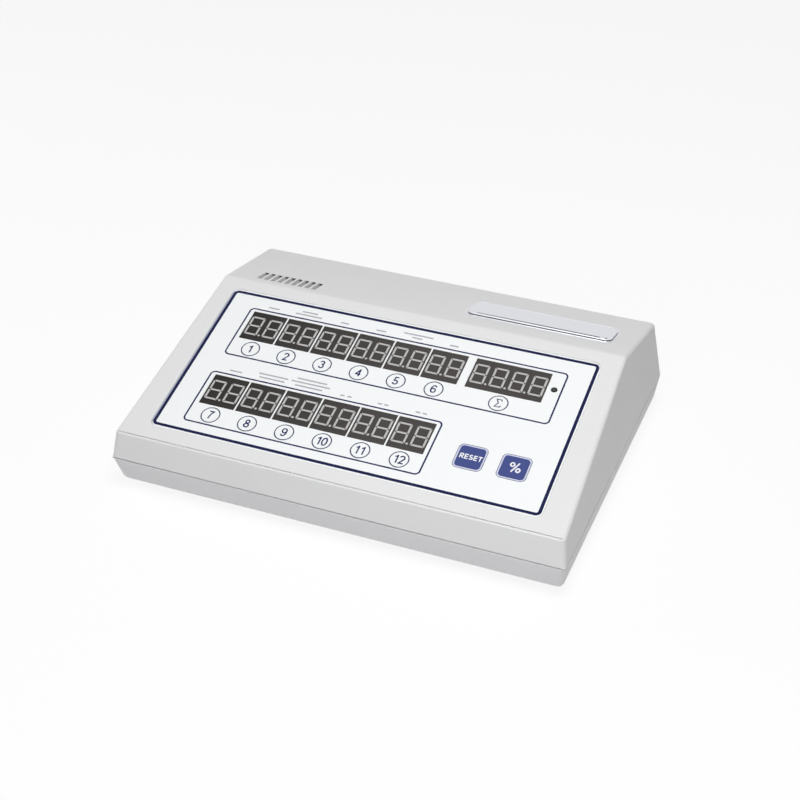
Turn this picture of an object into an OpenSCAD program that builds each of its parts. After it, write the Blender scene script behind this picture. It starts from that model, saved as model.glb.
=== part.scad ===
// Differential cell counter: a bench instrument in a two-part wedge case.
// A white control panel lies in the sloping deck, with two rows of two-digit
// displays, one four-digit total, twelve numbered keys, a sum key, a reset key
// and a percent key. The mains inlet and its rocker switch sit in a rear bay.
// X runs along the width, Y to the back, Z up; the feet stand on Z = 0.

/* [Case] */
// Width of the case at the seam between its two shells
case_w = 297; // [292:1:330]
// Depth of the case at the seam
case_d = 223; // [218:1:245]
// Height of the lower shell, from its floor to the seam
lower_h = 20.5; // [19:0.5:30]
// Height of the front edge of the deck above the seam
front_h = 17.8; // [17:0.2:26]
// Length of the sloping deck, from the front edge to the ridge
deck_len = 147.2; // [144:0.2:156]
// Slope of the deck, in degrees
deck_tilt = 15.3; // [13:0.1:18]
// Slope of the band behind the ridge, in degrees
band_tilt = 11.5; // [8:0.5:14]
// Inward lean of the side walls, in degrees
side_draft = 8; // [4:0.5:9]
// Inward lean of the front wall above the seam, in degrees
front_draft = 12; // [6:0.5:14]
// Inward lean of the rear walls, in degrees
rear_draft = 10; // [6:0.5:11]
// Inward lean of the front wall below the seam, in degrees
chin_draft = 17; // [8:0.5:20]
// Wall thickness of both shells
wall = 3; // [2.5:0.1:3.6]
// Rounding of the upper shell's edges
edge_r = 2.5; // [1.5:0.1:4]
// Rounding of the lower shell's bottom edges
base_edge_r = 4; // [2:0.1:6]
// Extra rounding of the upright corners, seen from above
corner_r = 2; // [1:0.1:4]
// Height of the shadow groove at the seam
seam_gap = 0.8; // [0.4:0.1:1.2]
// Height of the tongue that locates the upper shell on the lower one
tongue_h = 2.6; // [1.8:0.1:4]
// Distance from the outside of the case to the tongue
tongue_in = 1.6; // [1.4:0.1:1.8]
// Gap around pieces that fit into each other
fit_gap = 0.15; // [0.1:0.05:0.3]

/* [Vents] */
// Number of vent slots in the band
vent_count = 9; // [4:1:14]
// Distance from one vent slot to the next
vent_pitch = 5.2; // [4.8:0.1:6]
// Width of a vent slot
vent_w = 3; // [2:0.1:3.4]
// Length of a vent slot
vent_len = 12.5; // [8:0.5:20]
// Distance from the ridge to the front end of the slots
vent_back = 6; // [4:0.5:10]
// Distance of the vents' middle to the left of the case's middle
vent_left = 96.4; // [85:0.1:100]

/* [Nameplate] */
// Width of the plate on the band
plate_w = 98; // [70:1:110]
// Depth of the plate along the band
plate_d = 23.5; // [20:0.5:34]
// Thickness of the plate
plate_t = 2.2; // [1.5:0.1:3]
// Depth of the seat that the plate lies in
plate_seat = 0.7; // [0.4:0.1:1.2]
// Corner radius of the plate
plate_r = 5; // [2:0.5:8]
// Distance of the plate's middle to the right of the case's middle
plate_right = 76.5; // [70:0.5:80]
// Distance from the ridge to the plate's middle
plate_back = 30.5; // [24:0.5:34]

/* [Panel] */
// Width of the control panel
panel_w = 256; // [254:1:266]
// Height of the control panel along the deck
panel_h = 125.5; // [124:0.5:132]
// Thickness of the control panel
panel_t = 1; // [0.8:0.1:1.2]
// Depth of the recess that the panel lies in
panel_recess = 1.4; // [1.3:0.1:1.6]
// Corner radius of the panel
panel_r = 5.5; // [3:0.5:8]
// Distance from the deck's front edge to the panel's middle
panel_at = 74.6; // [73:0.1:78]

/* [Displays] */
// Distance from one digit to the next
digit_pitch = 12.7; // [12.5:0.05:12.7]
// Number of two-digit displays in each row
row_count = 6; // [2:1:6]
// Digits in the total display
total_digits = 4; // [2:1:4]
// White bar between neighbouring displays
display_bar = 1; // [0.8:0.1:1.4]
// Height of a display window along the deck
window_h = 24.9; // [20:0.1:26]
// Height of a display block, from its face to the board
display_h = 8; // [7:0.1:10]
// Depth of the display faces below the deck
display_drop = 0.55; // [0.45:0.05:0.9]
// Distance of the first window's left edge to the left of the panel's middle
display_left = 105.9; // [104:0.1:107]
// Distance of the total window's left edge to the right of the panel's middle
total_right = 50.9; // [48:0.1:52]
// Distance of the first row's middle above the panel's middle
row_1_up = 33.9; // [33:0.1:36]
// Distance of the second row's middle below the panel's middle
row_2_down = 24.8; // [24:0.1:26]
// Diameter of the indicator light
led_d = 4; // [3:0.5:5]
// Distance of the indicator light to the right of the panel's middle
led_right = 105.4; // [104:0.1:108]

/* [Keys] */
// Diameter of a round key
key_d = 11.2; // [9:0.1:12]
// Width of a square key
square_key_w = 15.8; // [12:0.1:17]
// Corner radius of a square key
square_key_r = 2; // [1:0.1:3]
// Thickness of a key cap
key_t = 0.5; // [0.4:0.05:0.6]
// Height of the key caps above the control panel
key_proud = 0.15; // [0.1:0.05:0.3]
// Gap around a key cap
key_gap = 0.2; // [0.15:0.05:0.3]
// Travel of a key
key_travel = 0.5; // [0.3:0.05:0.5]
// Diameter of a key stem
stem_d = 3.2; // [2.5:0.1:3.6]
// Distance of the round keys' first row above the panel's middle
key_1_up = 13.9; // [13:0.1:15]
// Distance of the round keys' second row below the panel's middle
key_2_down = 44.9; // [44:0.1:46]
// Distance of the sum key to the right of the panel's middle
sum_right = 75.9; // [70:0.1:80]
// Distance of the reset key to the right of the panel's middle
reset_right = 73.8; // [70:0.1:76]
// Distance of the percent key to the right of the panel's middle
percent_right = 101.4; // [98:0.1:104]
// Distance of the square keys below the panel's middle
square_down = 31.5; // [28:0.1:34]

/* [Boards] */
// Thickness of the circuit boards
board_t = 1.6; // [1.2:0.1:2]
// Width of the display board
display_board_w = 222; // [220:1:226]
// Height of the display board along the deck
display_board_h = 111; // [110:1:113]
// Width of the main board
main_board_w = 150; // [140:1:160]
// Depth of the main board
main_board_d = 95; // [90:1:105]
// Height of the main board above the lower shell's floor
main_board_up = 6; // [5:0.5:8]
// Distance of the main board's middle to the left of the case's middle
main_board_left = 40; // [35:1:42]
// Distance of the main board's middle behind the case's middle
main_board_back = 20; // [10:1:22]
// Diameter of the board screws
board_screw_d = 2.5; // [2:0.1:3]

/* [Transformer] */
// Width of the transformer core
core_w = 48; // [40:1:52]
// Height of the transformer core
core_h = 40; // [34:1:42]
// Thickness of the transformer core, front to back
core_t = 16; // [12:0.5:20]
// Distance of the transformer to the right of the case's middle
core_right = 84; // [80:1:90]
// Distance of the transformer behind the case's middle
core_back = 38; // [34:1:42]

/* [Rear bay] */
// Width of the recessed bay in the rear wall
bay_w = 72; // [70:1:78]
// Height of the bay
bay_h = 30; // [28:0.5:31]
// Depth of the bay, measured from the seam's rear edge
bay_depth = 12; // [11:0.5:14]
// Distance of the bay's middle to the right of the case's middle
bay_right = 82; // [78:1:84]
// Distance of the bay's middle above the seam
bay_up = 21; // [20:0.5:22]
// Width of the inlet's body
inlet_w = 27; // [27:0.5:30]
// Height of the inlet's body
inlet_h = 20; // [20:0.5:22]
// Length of the inlet's body behind its flange
inlet_len = 19; // [18:0.5:22]
// Distance between the inlet's two screws
inlet_screw_pitch = 40; // [39:0.5:42]
// Half the angle that the rocker swings through, in degrees
rocker_half_angle = 12; // [8:1:13]

/* [Fasteners and feet] */
// Diameter of the case screws
case_screw_d = 3; // [2.5:0.1:3.5]
// Distance from the case's side edge to the case screws
case_screw_in_x = 20.5; // [19:0.5:22]
// Distance from the case's front and rear edges to the case screws
case_screw_in_y = 19.5; // [18:0.5:21]
// Diameter of a rubber foot
foot_d = 15; // [10:0.5:18]
// Height of a foot below the lower shell
foot_h = 3; // [2:0.5:6]
// Distance from the case's side edge to the feet
foot_in_x = 38; // [36:1:50]
// Distance from the case's front and rear edges to the feet
foot_in_y = 30; // [27:1:34]

/* [Hidden] */
$fn = 48;
hull_fn = 24;
tiny = 0.01;
over = 1;                 // how far a cutter passes a surface

shell_colour = [0.87, 0.87, 0.88];
base_colour = [0.80, 0.80, 0.81];
panel_colour = [0.97, 0.98, 0.98];
window_colour = [0.20, 0.19, 0.19];
blue_colour = [0.25, 0.30, 0.56];
board_colour = [0.10, 0.38, 0.22];
black_colour = [0.09, 0.09, 0.10];
metal_colour = [0.72, 0.73, 0.75];
copper_colour = [0.70, 0.38, 0.18];

// The case frame: x from the middle, y from the seam's front edge, z from the seam.
seam_z = foot_h + lower_h;
ridge_front = [front_h * tan(front_draft), front_h];
slope = [cos(deck_tilt), sin(deck_tilt)];
ridge = ridge_front + deck_len * slope;
panel_mid = ridge_front + panel_at * slope;
past_seam = 10;           // how far a shell's outline runs past the seam before it is cut

// A wall is [angle of its outward normal, distance of its plane], seen from the right side.
rear_wall = [rear_draft, case_d * cos(rear_draft)];
band_wall = [90 - band_tilt, [sin(band_tilt), cos(band_tilt)] * ridge];
deck_wall = [90 + deck_tilt, [-sin(deck_tilt), cos(deck_tilt)] * ridge];
front_wall = [180 - front_draft, 0];
upper_walls = [rear_wall, band_wall, deck_wall, front_wall, [270, past_seam]];
lower_walls = [[90, past_seam], [180 + chin_draft, 0], [270, lower_h],
               [360 - rear_draft, case_d * cos(rear_draft)]];

// Panel places, measured on the deck from the panel's middle.
dual_pitch = 2 * digit_pitch;
dual_w = dual_pitch - display_bar;
total_w = total_digits * digit_pitch - display_bar;
row_w = (row_count - 1) * dual_pitch + dual_w;
row_y = [row_1_up, -row_2_down];
key_y = [key_1_up, -key_2_down];
first_key_x = -display_left + dual_w / 2;

// Levels along the deck's normal, from the deck's surface.
panel_top = panel_t - panel_recess;
cap_top = panel_top + key_proud;
cap_bottom = cap_top - key_t;
board_top = -display_drop - display_h;
board_bottom = board_top - board_t;
switch_h = 3.5;
switch_w = 6;
switch_bore = 1.4;
switch_top = board_top + switch_h;
square_rise = 0.2;        // the square caps stand this much higher than the round ones
display_edge = 0.1;       // gap between a display block and its window
stem_bottom = switch_top - switch_bore + key_travel + fit_gap;

count_keys = [for (row = [0, 1], i = [0:row_count - 1]) [first_key_x + i * dual_pitch, key_y[row]]];
sum_place = [sum_right, key_1_up];
reset_place = [reset_right, -square_down];
percent_place = [percent_right, -square_down];
all_keys = concat(count_keys, [sum_place, reset_place, percent_place]);

// The display board and its screws
board_half = [display_board_w / 2, display_board_h / 2];
board_shift = 1;          // the display board's middle lies this far above the panel's
board_boss_d = 7;
boss_in = 4.5;            // from a board's edge to its screws
board_holes = [
    for (x = [-1, 1], y = [-1, 0.02, 1]) [x * (board_half[0] - boss_in), y * (board_half[1] - boss_in)],
    [0, -3.4]
];
screw_clear = 0.2;
thread_gap = 0.05;
board_head_d = 2 * board_screw_d;
board_head_h = 1.8;
board_thread = display_h + display_drop - panel_recess - 1.2;

// The main board, and what stands on it
main_board_z = foot_h + wall + main_board_up;
main_board_mid = [-main_board_left, main_board_back];
main_top = main_board_z + board_t;
main_holes = [for (x = [-1, 1], y = [-1, 1])
    [x * (main_board_w / 2 - boss_in), y * (main_board_d / 2 - boss_in)]];
main_thread = 6;
chip_lift = 0.5;          // pins between a chip's body and the board
chip_h = 3.5;
pin_row = 2;
processor_size = [52, 13.7];
processor_place = main_board_mid + [10, -14];
driver_count = 4;
driver_size = [25, 6.4];
driver_pitch = 12;
driver_place = main_board_mid + [-44, -14];
capacitor_d = 16;
capacitor_h = 25;
capacitor_pitch = 20;
capacitor_place = main_board_mid + [6, 26];
crimp_z = 1.2;            // a groove runs round each capacitor above its foot
crimp_h = 0.8;
buzzer_d = 12;
buzzer_h = 9;
buzzer_hole_d = 2.5;
buzzer_place = main_board_mid + [56, -30];
sink_place = main_board_mid + [-20, 37];
sink_w = 24;
sink_t = 3;
sink_h = 28;
fin_t = 1.5;
fin_len = 5;
regulator_w = 10;
regulator_tab = [1.3, 15.5];
regulator_body = [3.1, 9];
regulator_lift = 6;
lead_size = [0.8, 0.6];
lead_pitch = 2.5;
terminal_h = 9;
terminal_size = [12, 8];
terminal = main_board_mid + [main_board_w / 2 - 9, 6];

// The ribbon cable between a header under the display board and one on the main board
header_w = 30;
header_t = 6;
header_h = 6;
header_x = -55;           // both headers and the ribbon lie this far from the case's middle
display_header_y = 12;    // the display header lies this far above the panel's middle
deck_normal = [-sin(deck_tilt), cos(deck_tilt)];
header_end = panel_mid + display_header_y * slope + (board_bottom - header_h) * deck_normal;
ribbon_t = 0.9;
ribbon_r = 12;
ribbon_drop = 4;          // straight stretch out of the display header
plug_h = 2.5;             // sockets at the ribbon's ends
main_header_y = header_end[0] + ribbon_drop * sin(deck_tilt) + ribbon_r * (1 - cos(deck_tilt)) - case_d / 2;

// The transformer
core_screw_d = 3;
core_head_d = 5.6;
core_seat_z = foot_h + wall + 4;
core_thread = 5.4;
core_foot_t = 2;
core_ear = 10;
core_leg = core_w / 6;
core_holes = [for (x = [-1, 1]) [core_right + x * (core_w + core_ear) / 2, core_back]];
coil_gap = 0.3;
coil_out = 9;

// The rear bay, with the inlet and the switch in its floor
bay_rim = 2;
bay_lip = [2.5, 1.6];     // width and thickness of the lip behind the rear wall
bay_floor_y = case_d - bay_depth;
inlet_x = bay_right + bay_w / 2 - inlet_screw_pitch / 2 - 6;
switch_x = bay_right - bay_w / 2 + 10.5;
inlet_screw_d = 3;
inlet_head_d = 5.6;
inlet_head_h = 1.8;
flange_rim = [4.5, 1.25]; // the flange passes the screws and the inlet's body by this much
flange_t = 2.5;
flange_r = 4;
socket_w = 24.6;
socket_h = 16.6;
socket_cut = 5;
socket_depth = 17;
blade_t = 2;
blade_h = 4;
blade_len = 14;
blades = [[-7, -2], [7, -2], [0, 2]];
tabs = [[-7, -3], [7, -3], [0, 5]];
tab_w = 6;
tab_t = 0.8;
tab_len = 8;
switch_bezel = [15, 21, 1.8];
switch_body = [13, 19, 14];
switch_slot = [10.9, 15.6, 9];
switch_tab_y = 5;
rocker_w = 10.4;
rocker_half = 6.6;
rocker_face = 1.2;
rocker_back = [1.6, -2];
pivot_z = -3;
pivot_d = 2.4;
pivot_gap = 0.05;

// The wires
wire_r = 1;
wire_gap = 0.2;
wire_rings = 18;
wire_sides = 8;

// Case screws and feet
case_screws = [for (x = [-1, 1], y = [-1, 1])
    [x * (case_w / 2 - case_screw_in_x), y * (case_d / 2 - case_screw_in_y)]];
case_boss_d = 9.5;
case_head_d = 2 * case_screw_d - 0.4;
case_head_h = 2;
case_grip = 6;            // lower boss left between the screw's head and the upper boss
case_thread = 11;
case_seat_z = seam_z + tongue_h - case_grip;

foot_places = [for (y = [-1, 1], x = [-1, 1])
    [x * (case_w / 2 - foot_in_x), y * (case_d / 2 - foot_in_y)]];
foot_stem_d = 5;
foot_barb = [0.6, 0.5, 1.6];  // how far the barb stands out, how far its end draws in, its height

function two(i) = str(i < 10 ? "0" : "", i);
key_names = [for (i = [1:2 * row_count]) str("count_key_", two(i))];
display_names = [for (i = [1:2 * row_count]) str("dual_display_", two(i))];
foot_names = [for (i = [1:4]) str("rubber_foot_", i)];

// ---- Geometry helpers ----

// The point where two walls cross, seen from the side.
function meet(a, b) = let (s = sin(b[0] - a[0]))
    [(a[1] * sin(b[0]) - b[1] * sin(a[0])) / s, (b[1] * cos(a[0]) - a[1] * cos(b[0])) / s];

// The same wall moved inwards, for a ring of the given tube and ring radius.
function inset(a, tube, ring) = [a[0], a[1] - tube - ring * abs(cos(a[0]))];

function corners(walls, tube, ring) = [for (i = [0:len(walls) - 1])
    meet(inset(walls[i], tube, ring), inset(walls[(i + 1) % len(walls)], tube, ring))];

// Half the width between the side walls at height z, moved inwards in the same way.
function half_width(z, draft, tube, ring) =
    case_w / 2 - z * tan(draft) - (tube + ring * cos(draft)) / cos(draft);

module in_case() { translate([0, -case_d / 2, seam_z]) children(); }

// The frame of the deck, from the panel's middle, and of the band, from the ridge
module on_deck() {
    in_case() translate([0, panel_mid[0], panel_mid[1]]) rotate([deck_tilt, 0, 0]) children();
}
module on_band() {
    in_case() translate([0, ridge[0], ridge[1]]) rotate([-band_tilt, 0, 0]) children();
}

// The frame of the bay's floor: x to the left seen from behind, y up, z out of the bay
module in_bay(x) { in_case() translate([x, bay_floor_y, bay_up]) rotate([90, 0, 180]) children(); }

module rounded_rect(w, h, r) {
    square([w - 2 * r, h], center = true);
    square([w, h - 2 * r], center = true);
    for (x = [-1, 1], y = [-1, 1]) translate([x * (w / 2 - r), y * (h / 2 - r)]) circle(r);
}

module slab(w, h, t, r) { linear_extrude(t) rounded_rect(w, h, r); }

// A button of ring + tube radius with a rounded rim: the corner of a hulled shell.
module corner_button(tube, ring) {
    rotate_extrude($fn = hull_fn) {
        translate([ring, 0]) intersection() {
            circle(tube, $fn = hull_fn);
            translate([0, -tube]) square([tube, 2 * tube]);
        }
        translate([0, -tube]) square([ring, 2 * tube]);
    }
}

// A shell's outside: flat leaning walls with rounded edges.
module rounded_body(walls, draft, tube) {
    hull() for (p = corners(walls, tube, corner_r), side = [-1, 1])
        translate([side * half_width(p[1], draft, tube, corner_r), p[0], p[1]])
            corner_button(tube, corner_r);
}

// A shell's inside: the same walls moved in by the wall thickness and a gap, with sharp edges.
module cavity(walls, draft, gap = 0) {
    pts = corners(walls, wall + gap, 0);
    n = len(pts);
    half = [for (p = pts) half_width(p[1], draft, wall + gap, 0)];
    polyhedron(
        points = concat([for (i = [0:n - 1]) [-half[i], pts[i][0], pts[i][1]]],
                        [for (i = [0:n - 1]) [half[i], pts[i][0], pts[i][1]]]),
        faces = concat([[for (i = [0:n - 1]) i]], [[for (i = [n - 1:-1:0]) n + i]],
                       [for (i = [0:n - 1]) [i, n + i, n + (i + 1) % n, (i + 1) % n]]));
}

// A plan of the case at the seam, moved inwards.
module seam_plan(inward) {
    translate([0, case_d / 2])
        rounded_rect(case_w - 2 * inward, case_d - 2 * inward, edge_r + corner_r - inward);
}

module at_each(places) { for (p = places) translate([p[0], p[1], 0]) children(); }

module pan_screw(d, head_d, head_h, len) {
    // Head below the origin, shank up along +Z, with a cross slot in the head
    difference() {
        translate([0, 0, -head_h]) cylinder(d = head_d, h = head_h);
        for (a = [0, 90]) rotate(a)
            translate([-head_d / 3, -head_d / 16, -head_h - tiny])
                cube([head_d / 1.5, head_d / 8, head_h / 2]);
    }
    cylinder(d = d, h = len);
}

// ---- Case ----

module vent_slots() {
    first = -vent_left - (vent_count - 1) * vent_pitch / 2;
    for (i = [0:vent_count - 1])
        translate([first + i * vent_pitch, vent_back + vent_len / 2, -wall - 2 * over])
            linear_extrude(wall + 4 * over) rounded_rect(vent_w, vent_len, vent_w / 6);
}

module deck_cuts() {
    translate([0, 0, -panel_recess])
        slab(panel_w + 2 * fit_gap, panel_h + 2 * fit_gap, panel_recess + over, panel_r);
    // Slots for the display rows and the total display
    for (y = row_y) translate([-display_left - fit_gap, y - window_h / 2 - fit_gap, -wall - over])
        cube([row_w + 2 * fit_gap, window_h + 2 * fit_gap, wall + over]);
    translate([total_right - fit_gap, row_1_up - window_h / 2 - fit_gap, -wall - over])
        cube([total_w + 2 * fit_gap, window_h + 2 * fit_gap, wall + over]);
    // Bores for the key stems and the indicator light
    for (k = all_keys) translate([k[0], k[1], -wall - over])
        cylinder(d = stem_d + 2 * key_gap, h = wall + over);
    translate([led_right, row_1_up, -wall - over]) cylinder(d = led_d + 2 * fit_gap, h = wall + over);
}

// The bosses that hang in the upper shell's cavity
module upper_inside() {
    on_deck() for (p = board_holes)
        translate([p[0], p[1] + board_shift, board_top]) cylinder(d = board_boss_d, h = -board_top);
    at_each(case_screws) translate([0, 0, seam_z]) cylinder(d = case_boss_d, h = ridge[1]);
}

module upper_housing() {
    color(shell_colour) difference() {
        in_case() rounded_body(upper_walls, side_draft, edge_r);
        difference() {
            in_case() cavity(upper_walls, side_draft);
            upper_inside();
        }
        // The rim ends at the groove, and the tongue's room lies inside it
        in_case() translate([-case_w, -case_d / 2, -2 * past_seam])
            cube([2 * case_w, 2 * case_d, 2 * past_seam + seam_gap / 2]);
        in_case() translate([0, 0, -over]) linear_extrude(tongue_h + over) seam_plan(tongue_in - fit_gap);
        on_deck() deck_cuts();
        on_band() vent_slots();
        on_band() translate([plate_right, plate_back, -plate_seat])
            slab(plate_w + 2 * fit_gap, plate_d + 2 * fit_gap, plate_seat + over, plate_r);
        // The window in the rear wall that the bay is pushed into from inside
        in_case() translate([bay_right, bay_floor_y, bay_up])
            bay_block(bay_rim + fit_gap, bay_depth + over);
        // Threads for the display board's screws and the case screws
        on_deck() for (p = board_holes) translate([p[0], p[1] + board_shift, board_top - tiny])
            cylinder(d = board_screw_d + 2 * thread_gap, h = board_thread);
        at_each(case_screws) translate([0, 0, seam_z])
            cylinder(d = case_screw_d + 2 * thread_gap, h = tongue_h + case_thread + 1);
    }
}

module lower_inside() {
    // Case screw bosses, main board bosses and transformer pads
    at_each(case_screws) translate([0, 0, foot_h]) cylinder(d = case_boss_d, h = lower_h + tongue_h + tiny);
    translate([main_board_mid[0], main_board_mid[1], foot_h]) at_each(main_holes)
        cylinder(d = board_boss_d, h = wall + main_board_up);
    at_each(core_holes) translate([0, 0, foot_h]) cylinder(d = board_boss_d, h = core_seat_z - foot_h);
}

module lower_housing() {
    color(base_colour) difference() {
        union() {
            difference() {
                in_case() rounded_body(lower_walls, -side_draft, base_edge_r);
                in_case() translate([-case_w, -case_d / 2, -seam_gap / 2])
                    cube([2 * case_w, 2 * case_d, 3 * past_seam]);
            }
            in_case() translate([0, 0, -wall]) linear_extrude(wall + tongue_h) seam_plan(tongue_in);
        }
        difference() {
            in_case() cavity(lower_walls, -side_draft);
            lower_inside();
        }
        // Case screw holes, each with a deep head pocket from below
        at_each(case_screws) {
            translate([0, 0, foot_h - over])
                cylinder(d = case_head_d + 2 * screw_clear, h = case_seat_z - foot_h + over);
            translate([0, 0, foot_h])
                cylinder(d = case_screw_d + 2 * screw_clear, h = lower_h + 2 * tongue_h);
        }
        at_each(foot_places) translate([0, 0, foot_h - over])
            cylinder(d = foot_stem_d + 2 * fit_gap, h = wall + 2 * over);
        translate([main_board_mid[0], main_board_mid[1], main_board_z - main_thread]) at_each(main_holes)
            cylinder(d = board_screw_d + 2 * thread_gap, h = main_thread + over);
        at_each(core_holes) translate([0, 0, core_seat_z - core_thread])
            cylinder(d = core_screw_d + 2 * thread_gap, h = core_thread + over);
    }
}

module rubber_foot(i) {
    p = foot_places[i - 1];
    r = foot_d / 2;
    barb = [foot_stem_d + 2 * foot_barb[0], foot_stem_d - 2 * foot_barb[1]];
    color(black_colour) translate([p[0], p[1], 0]) {
        rotate_extrude() polygon([[0, 0], [r - 1, 0], [r, 1], [r, foot_h], [0, foot_h]]);
        cylinder(d = foot_stem_d, h = foot_h + wall);
        translate([0, 0, foot_h + wall]) cylinder(d1 = barb[0], d2 = barb[1], h = foot_barb[2]);
    }
}

module case_screws_node() {
    color(metal_colour) at_each(case_screws) translate([0, 0, case_seat_z])
        pan_screw(case_screw_d, case_head_d, case_head_h, case_grip + case_thread);
}

module nameplate() {
    color([0.88, 0.885, 0.89]) on_band() translate([plate_right, plate_back, -plate_seat])
        slab(plate_w, plate_d, plate_t, plate_r);
}

// ---- Control panel ----

module control_panel() {
    square_hole = square_key_w + 2 * key_gap;
    color(panel_colour) on_deck() difference() {
        translate([0, 0, -panel_recess]) slab(panel_w, panel_h, panel_t, panel_r);
        for (y = row_y, i = [0:row_count - 1])
            translate([-display_left + i * dual_pitch, y - window_h / 2, -panel_recess - over])
                cube([dual_w, window_h, panel_t + 2 * over]);
        translate([total_right, row_1_up - window_h / 2, -panel_recess - over])
            cube([total_w, window_h, panel_t + 2 * over]);
        translate([led_right, row_1_up, -panel_recess - over])
            cylinder(d = led_d + 2 * fit_gap, h = panel_t + 2 * over);
        for (k = concat(count_keys, [sum_place]))
            translate([k[0], k[1], -panel_recess - over])
                cylinder(d = key_d + 2 * key_gap, h = panel_t + 2 * over);
        for (k = [reset_place, percent_place]) translate([k[0], k[1], -panel_recess - over])
            slab(square_hole, square_hole, panel_t + 2 * over, square_key_r + key_gap);
    }
}

module key_stem() { translate([0, 0, stem_bottom]) cylinder(d = stem_d, h = cap_bottom - stem_bottom); }

module round_key(place) {
    color(panel_colour) on_deck() translate([place[0], place[1], 0]) {
        translate([0, 0, cap_bottom]) cylinder(d = key_d, h = key_t);
        key_stem();
    }
}

module square_key(place) {
    color(blue_colour) on_deck() translate([place[0], place[1], 0]) {
        translate([0, 0, cap_bottom]) slab(square_key_w, square_key_w, key_t + square_rise, square_key_r);
        key_stem();
    }
}

module key_switches() {
    color(black_colour) on_deck() for (k = all_keys) translate([k[0], k[1], board_top]) difference() {
        translate([-switch_w / 2, -switch_w / 2, 0]) cube([switch_w, switch_w, switch_h]);
        translate([0, 0, switch_h - switch_bore]) cylinder(d = stem_d + 2 * key_gap, h = switch_bore + over);
    }
}

module display_block(w) {
    translate([display_edge, display_edge - window_h / 2, board_top])
        cube([w - 2 * display_edge, window_h - 2 * display_edge, display_h]);
}

module dual_display(i) {
    row = i > row_count ? 1 : 0;
    left = -display_left + (i - 1 - row * row_count) * dual_pitch;
    color(window_colour) on_deck() translate([left, row_y[row], 0]) display_block(dual_w);
}

module total_display() {
    color(window_colour) on_deck() translate([total_right, row_1_up, 0]) display_block(total_w);
}

module indicator_light() {
    dome = led_d / 2;
    color([0.24, 0.23, 0.23]) on_deck() translate([led_right, row_1_up, 0]) {
        translate([0, 0, board_top]) cylinder(d = led_d, h = -board_top + panel_top - dome);
        translate([0, 0, panel_top - dome]) sphere(dome);
    }
}

module display_board() {
    color(board_colour) on_deck() {
        difference() {
            translate([0, board_shift, board_bottom]) slab(display_board_w, display_board_h, board_t, 2);
            for (p = board_holes) translate([p[0], p[1] + board_shift, board_bottom - over])
                cylinder(d = board_screw_d + 2 * screw_clear, h = board_t + 2 * over);
        }
        // Header for the ribbon cable, under the board
        translate([header_x - header_w / 2, display_header_y - header_t / 2, board_bottom - header_h])
            cube([header_w, header_t, header_h]);
    }
}

module display_board_screws() {
    color(metal_colour) on_deck() for (p = board_holes) translate([p[0], p[1] + board_shift, board_bottom])
        pan_screw(board_screw_d, board_head_d, board_head_h, board_t + board_thread - 0.8);
}

// ---- Main board and its parts ----

module main_board() {
    color(board_colour) {
        difference() {
            translate([main_board_mid[0], main_board_mid[1], main_board_z])
                slab(main_board_w, main_board_d, board_t, 2);
            translate([main_board_mid[0], main_board_mid[1], main_board_z - over]) at_each(main_holes)
                cylinder(d = board_screw_d + 2 * screw_clear, h = board_t + 2 * over);
        }
        translate([header_x - header_w / 2, main_header_y - header_t / 2, main_top])
            cube([header_w, header_t, header_h]);
        translate([terminal[0] - terminal_size[0] / 2, terminal[1] - terminal_size[1] / 2, main_top])
            cube([terminal_size[0], terminal_size[1], terminal_h]);
    }
}

module main_board_screws() {
    color(metal_colour) translate([main_board_mid[0], main_board_mid[1], main_top]) at_each(main_holes)
        mirror([0, 0, 1]) pan_screw(board_screw_d, board_head_d, board_head_h, board_t + main_thread - 1);
}

// A chip package on two rows of pins, its body just above the board
module chip(size) {
    translate([-size[0] / 2, -size[1] / 2, chip_lift]) cube([size[0], size[1], chip_h]);
    for (x = [-1, 1]) translate([x * (size[0] / 2 - 1.5 * pin_row) - pin_row / 2, 0.5 - size[1] / 2, 0])
        cube([pin_row, size[1] - 1, chip_lift]);
}

module processor_chip() {
    color(black_colour) translate([processor_place[0], processor_place[1], main_top]) chip(processor_size);
}

module driver_chips() {
    color(black_colour) for (i = [0:driver_count - 1])
        translate([driver_place[0], driver_place[1] + i * driver_pitch, main_top]) chip(driver_size);
}

module capacitors() {
    above = crimp_z + crimp_h;
    color([0.16, 0.2, 0.36]) for (i = [0, 1])
        translate([capacitor_place[0] + i * capacitor_pitch, capacitor_place[1], main_top]) {
            cylinder(d = capacitor_d, h = crimp_z);
            translate([0, 0, crimp_z]) cylinder(d = capacitor_d - 1, h = crimp_h);
            translate([0, 0, above]) cylinder(d = capacitor_d, h = capacitor_h - above);
        }
}

module buzzer() {
    color(black_colour) translate([buzzer_place[0], buzzer_place[1], main_top]) difference() {
        cylinder(d = buzzer_d, h = buzzer_h);
        translate([0, 0, buzzer_h / 1.5]) cylinder(d = buzzer_hole_d, h = buzzer_h);
    }
}

module heat_sink() {
    color([0.55, 0.56, 0.58]) translate([sink_place[0], sink_place[1], main_top]) {
        translate([-sink_w / 2, -sink_t / 2, 0]) cube([sink_w, sink_t, sink_h]);
        for (x = [-1.5, -0.5, 0.5, 1.5]) translate([x * sink_w / 4 - fin_t / 2, sink_t / 2, 0])
            cube([fin_t, fin_len, sink_h]);
    }
}

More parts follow.
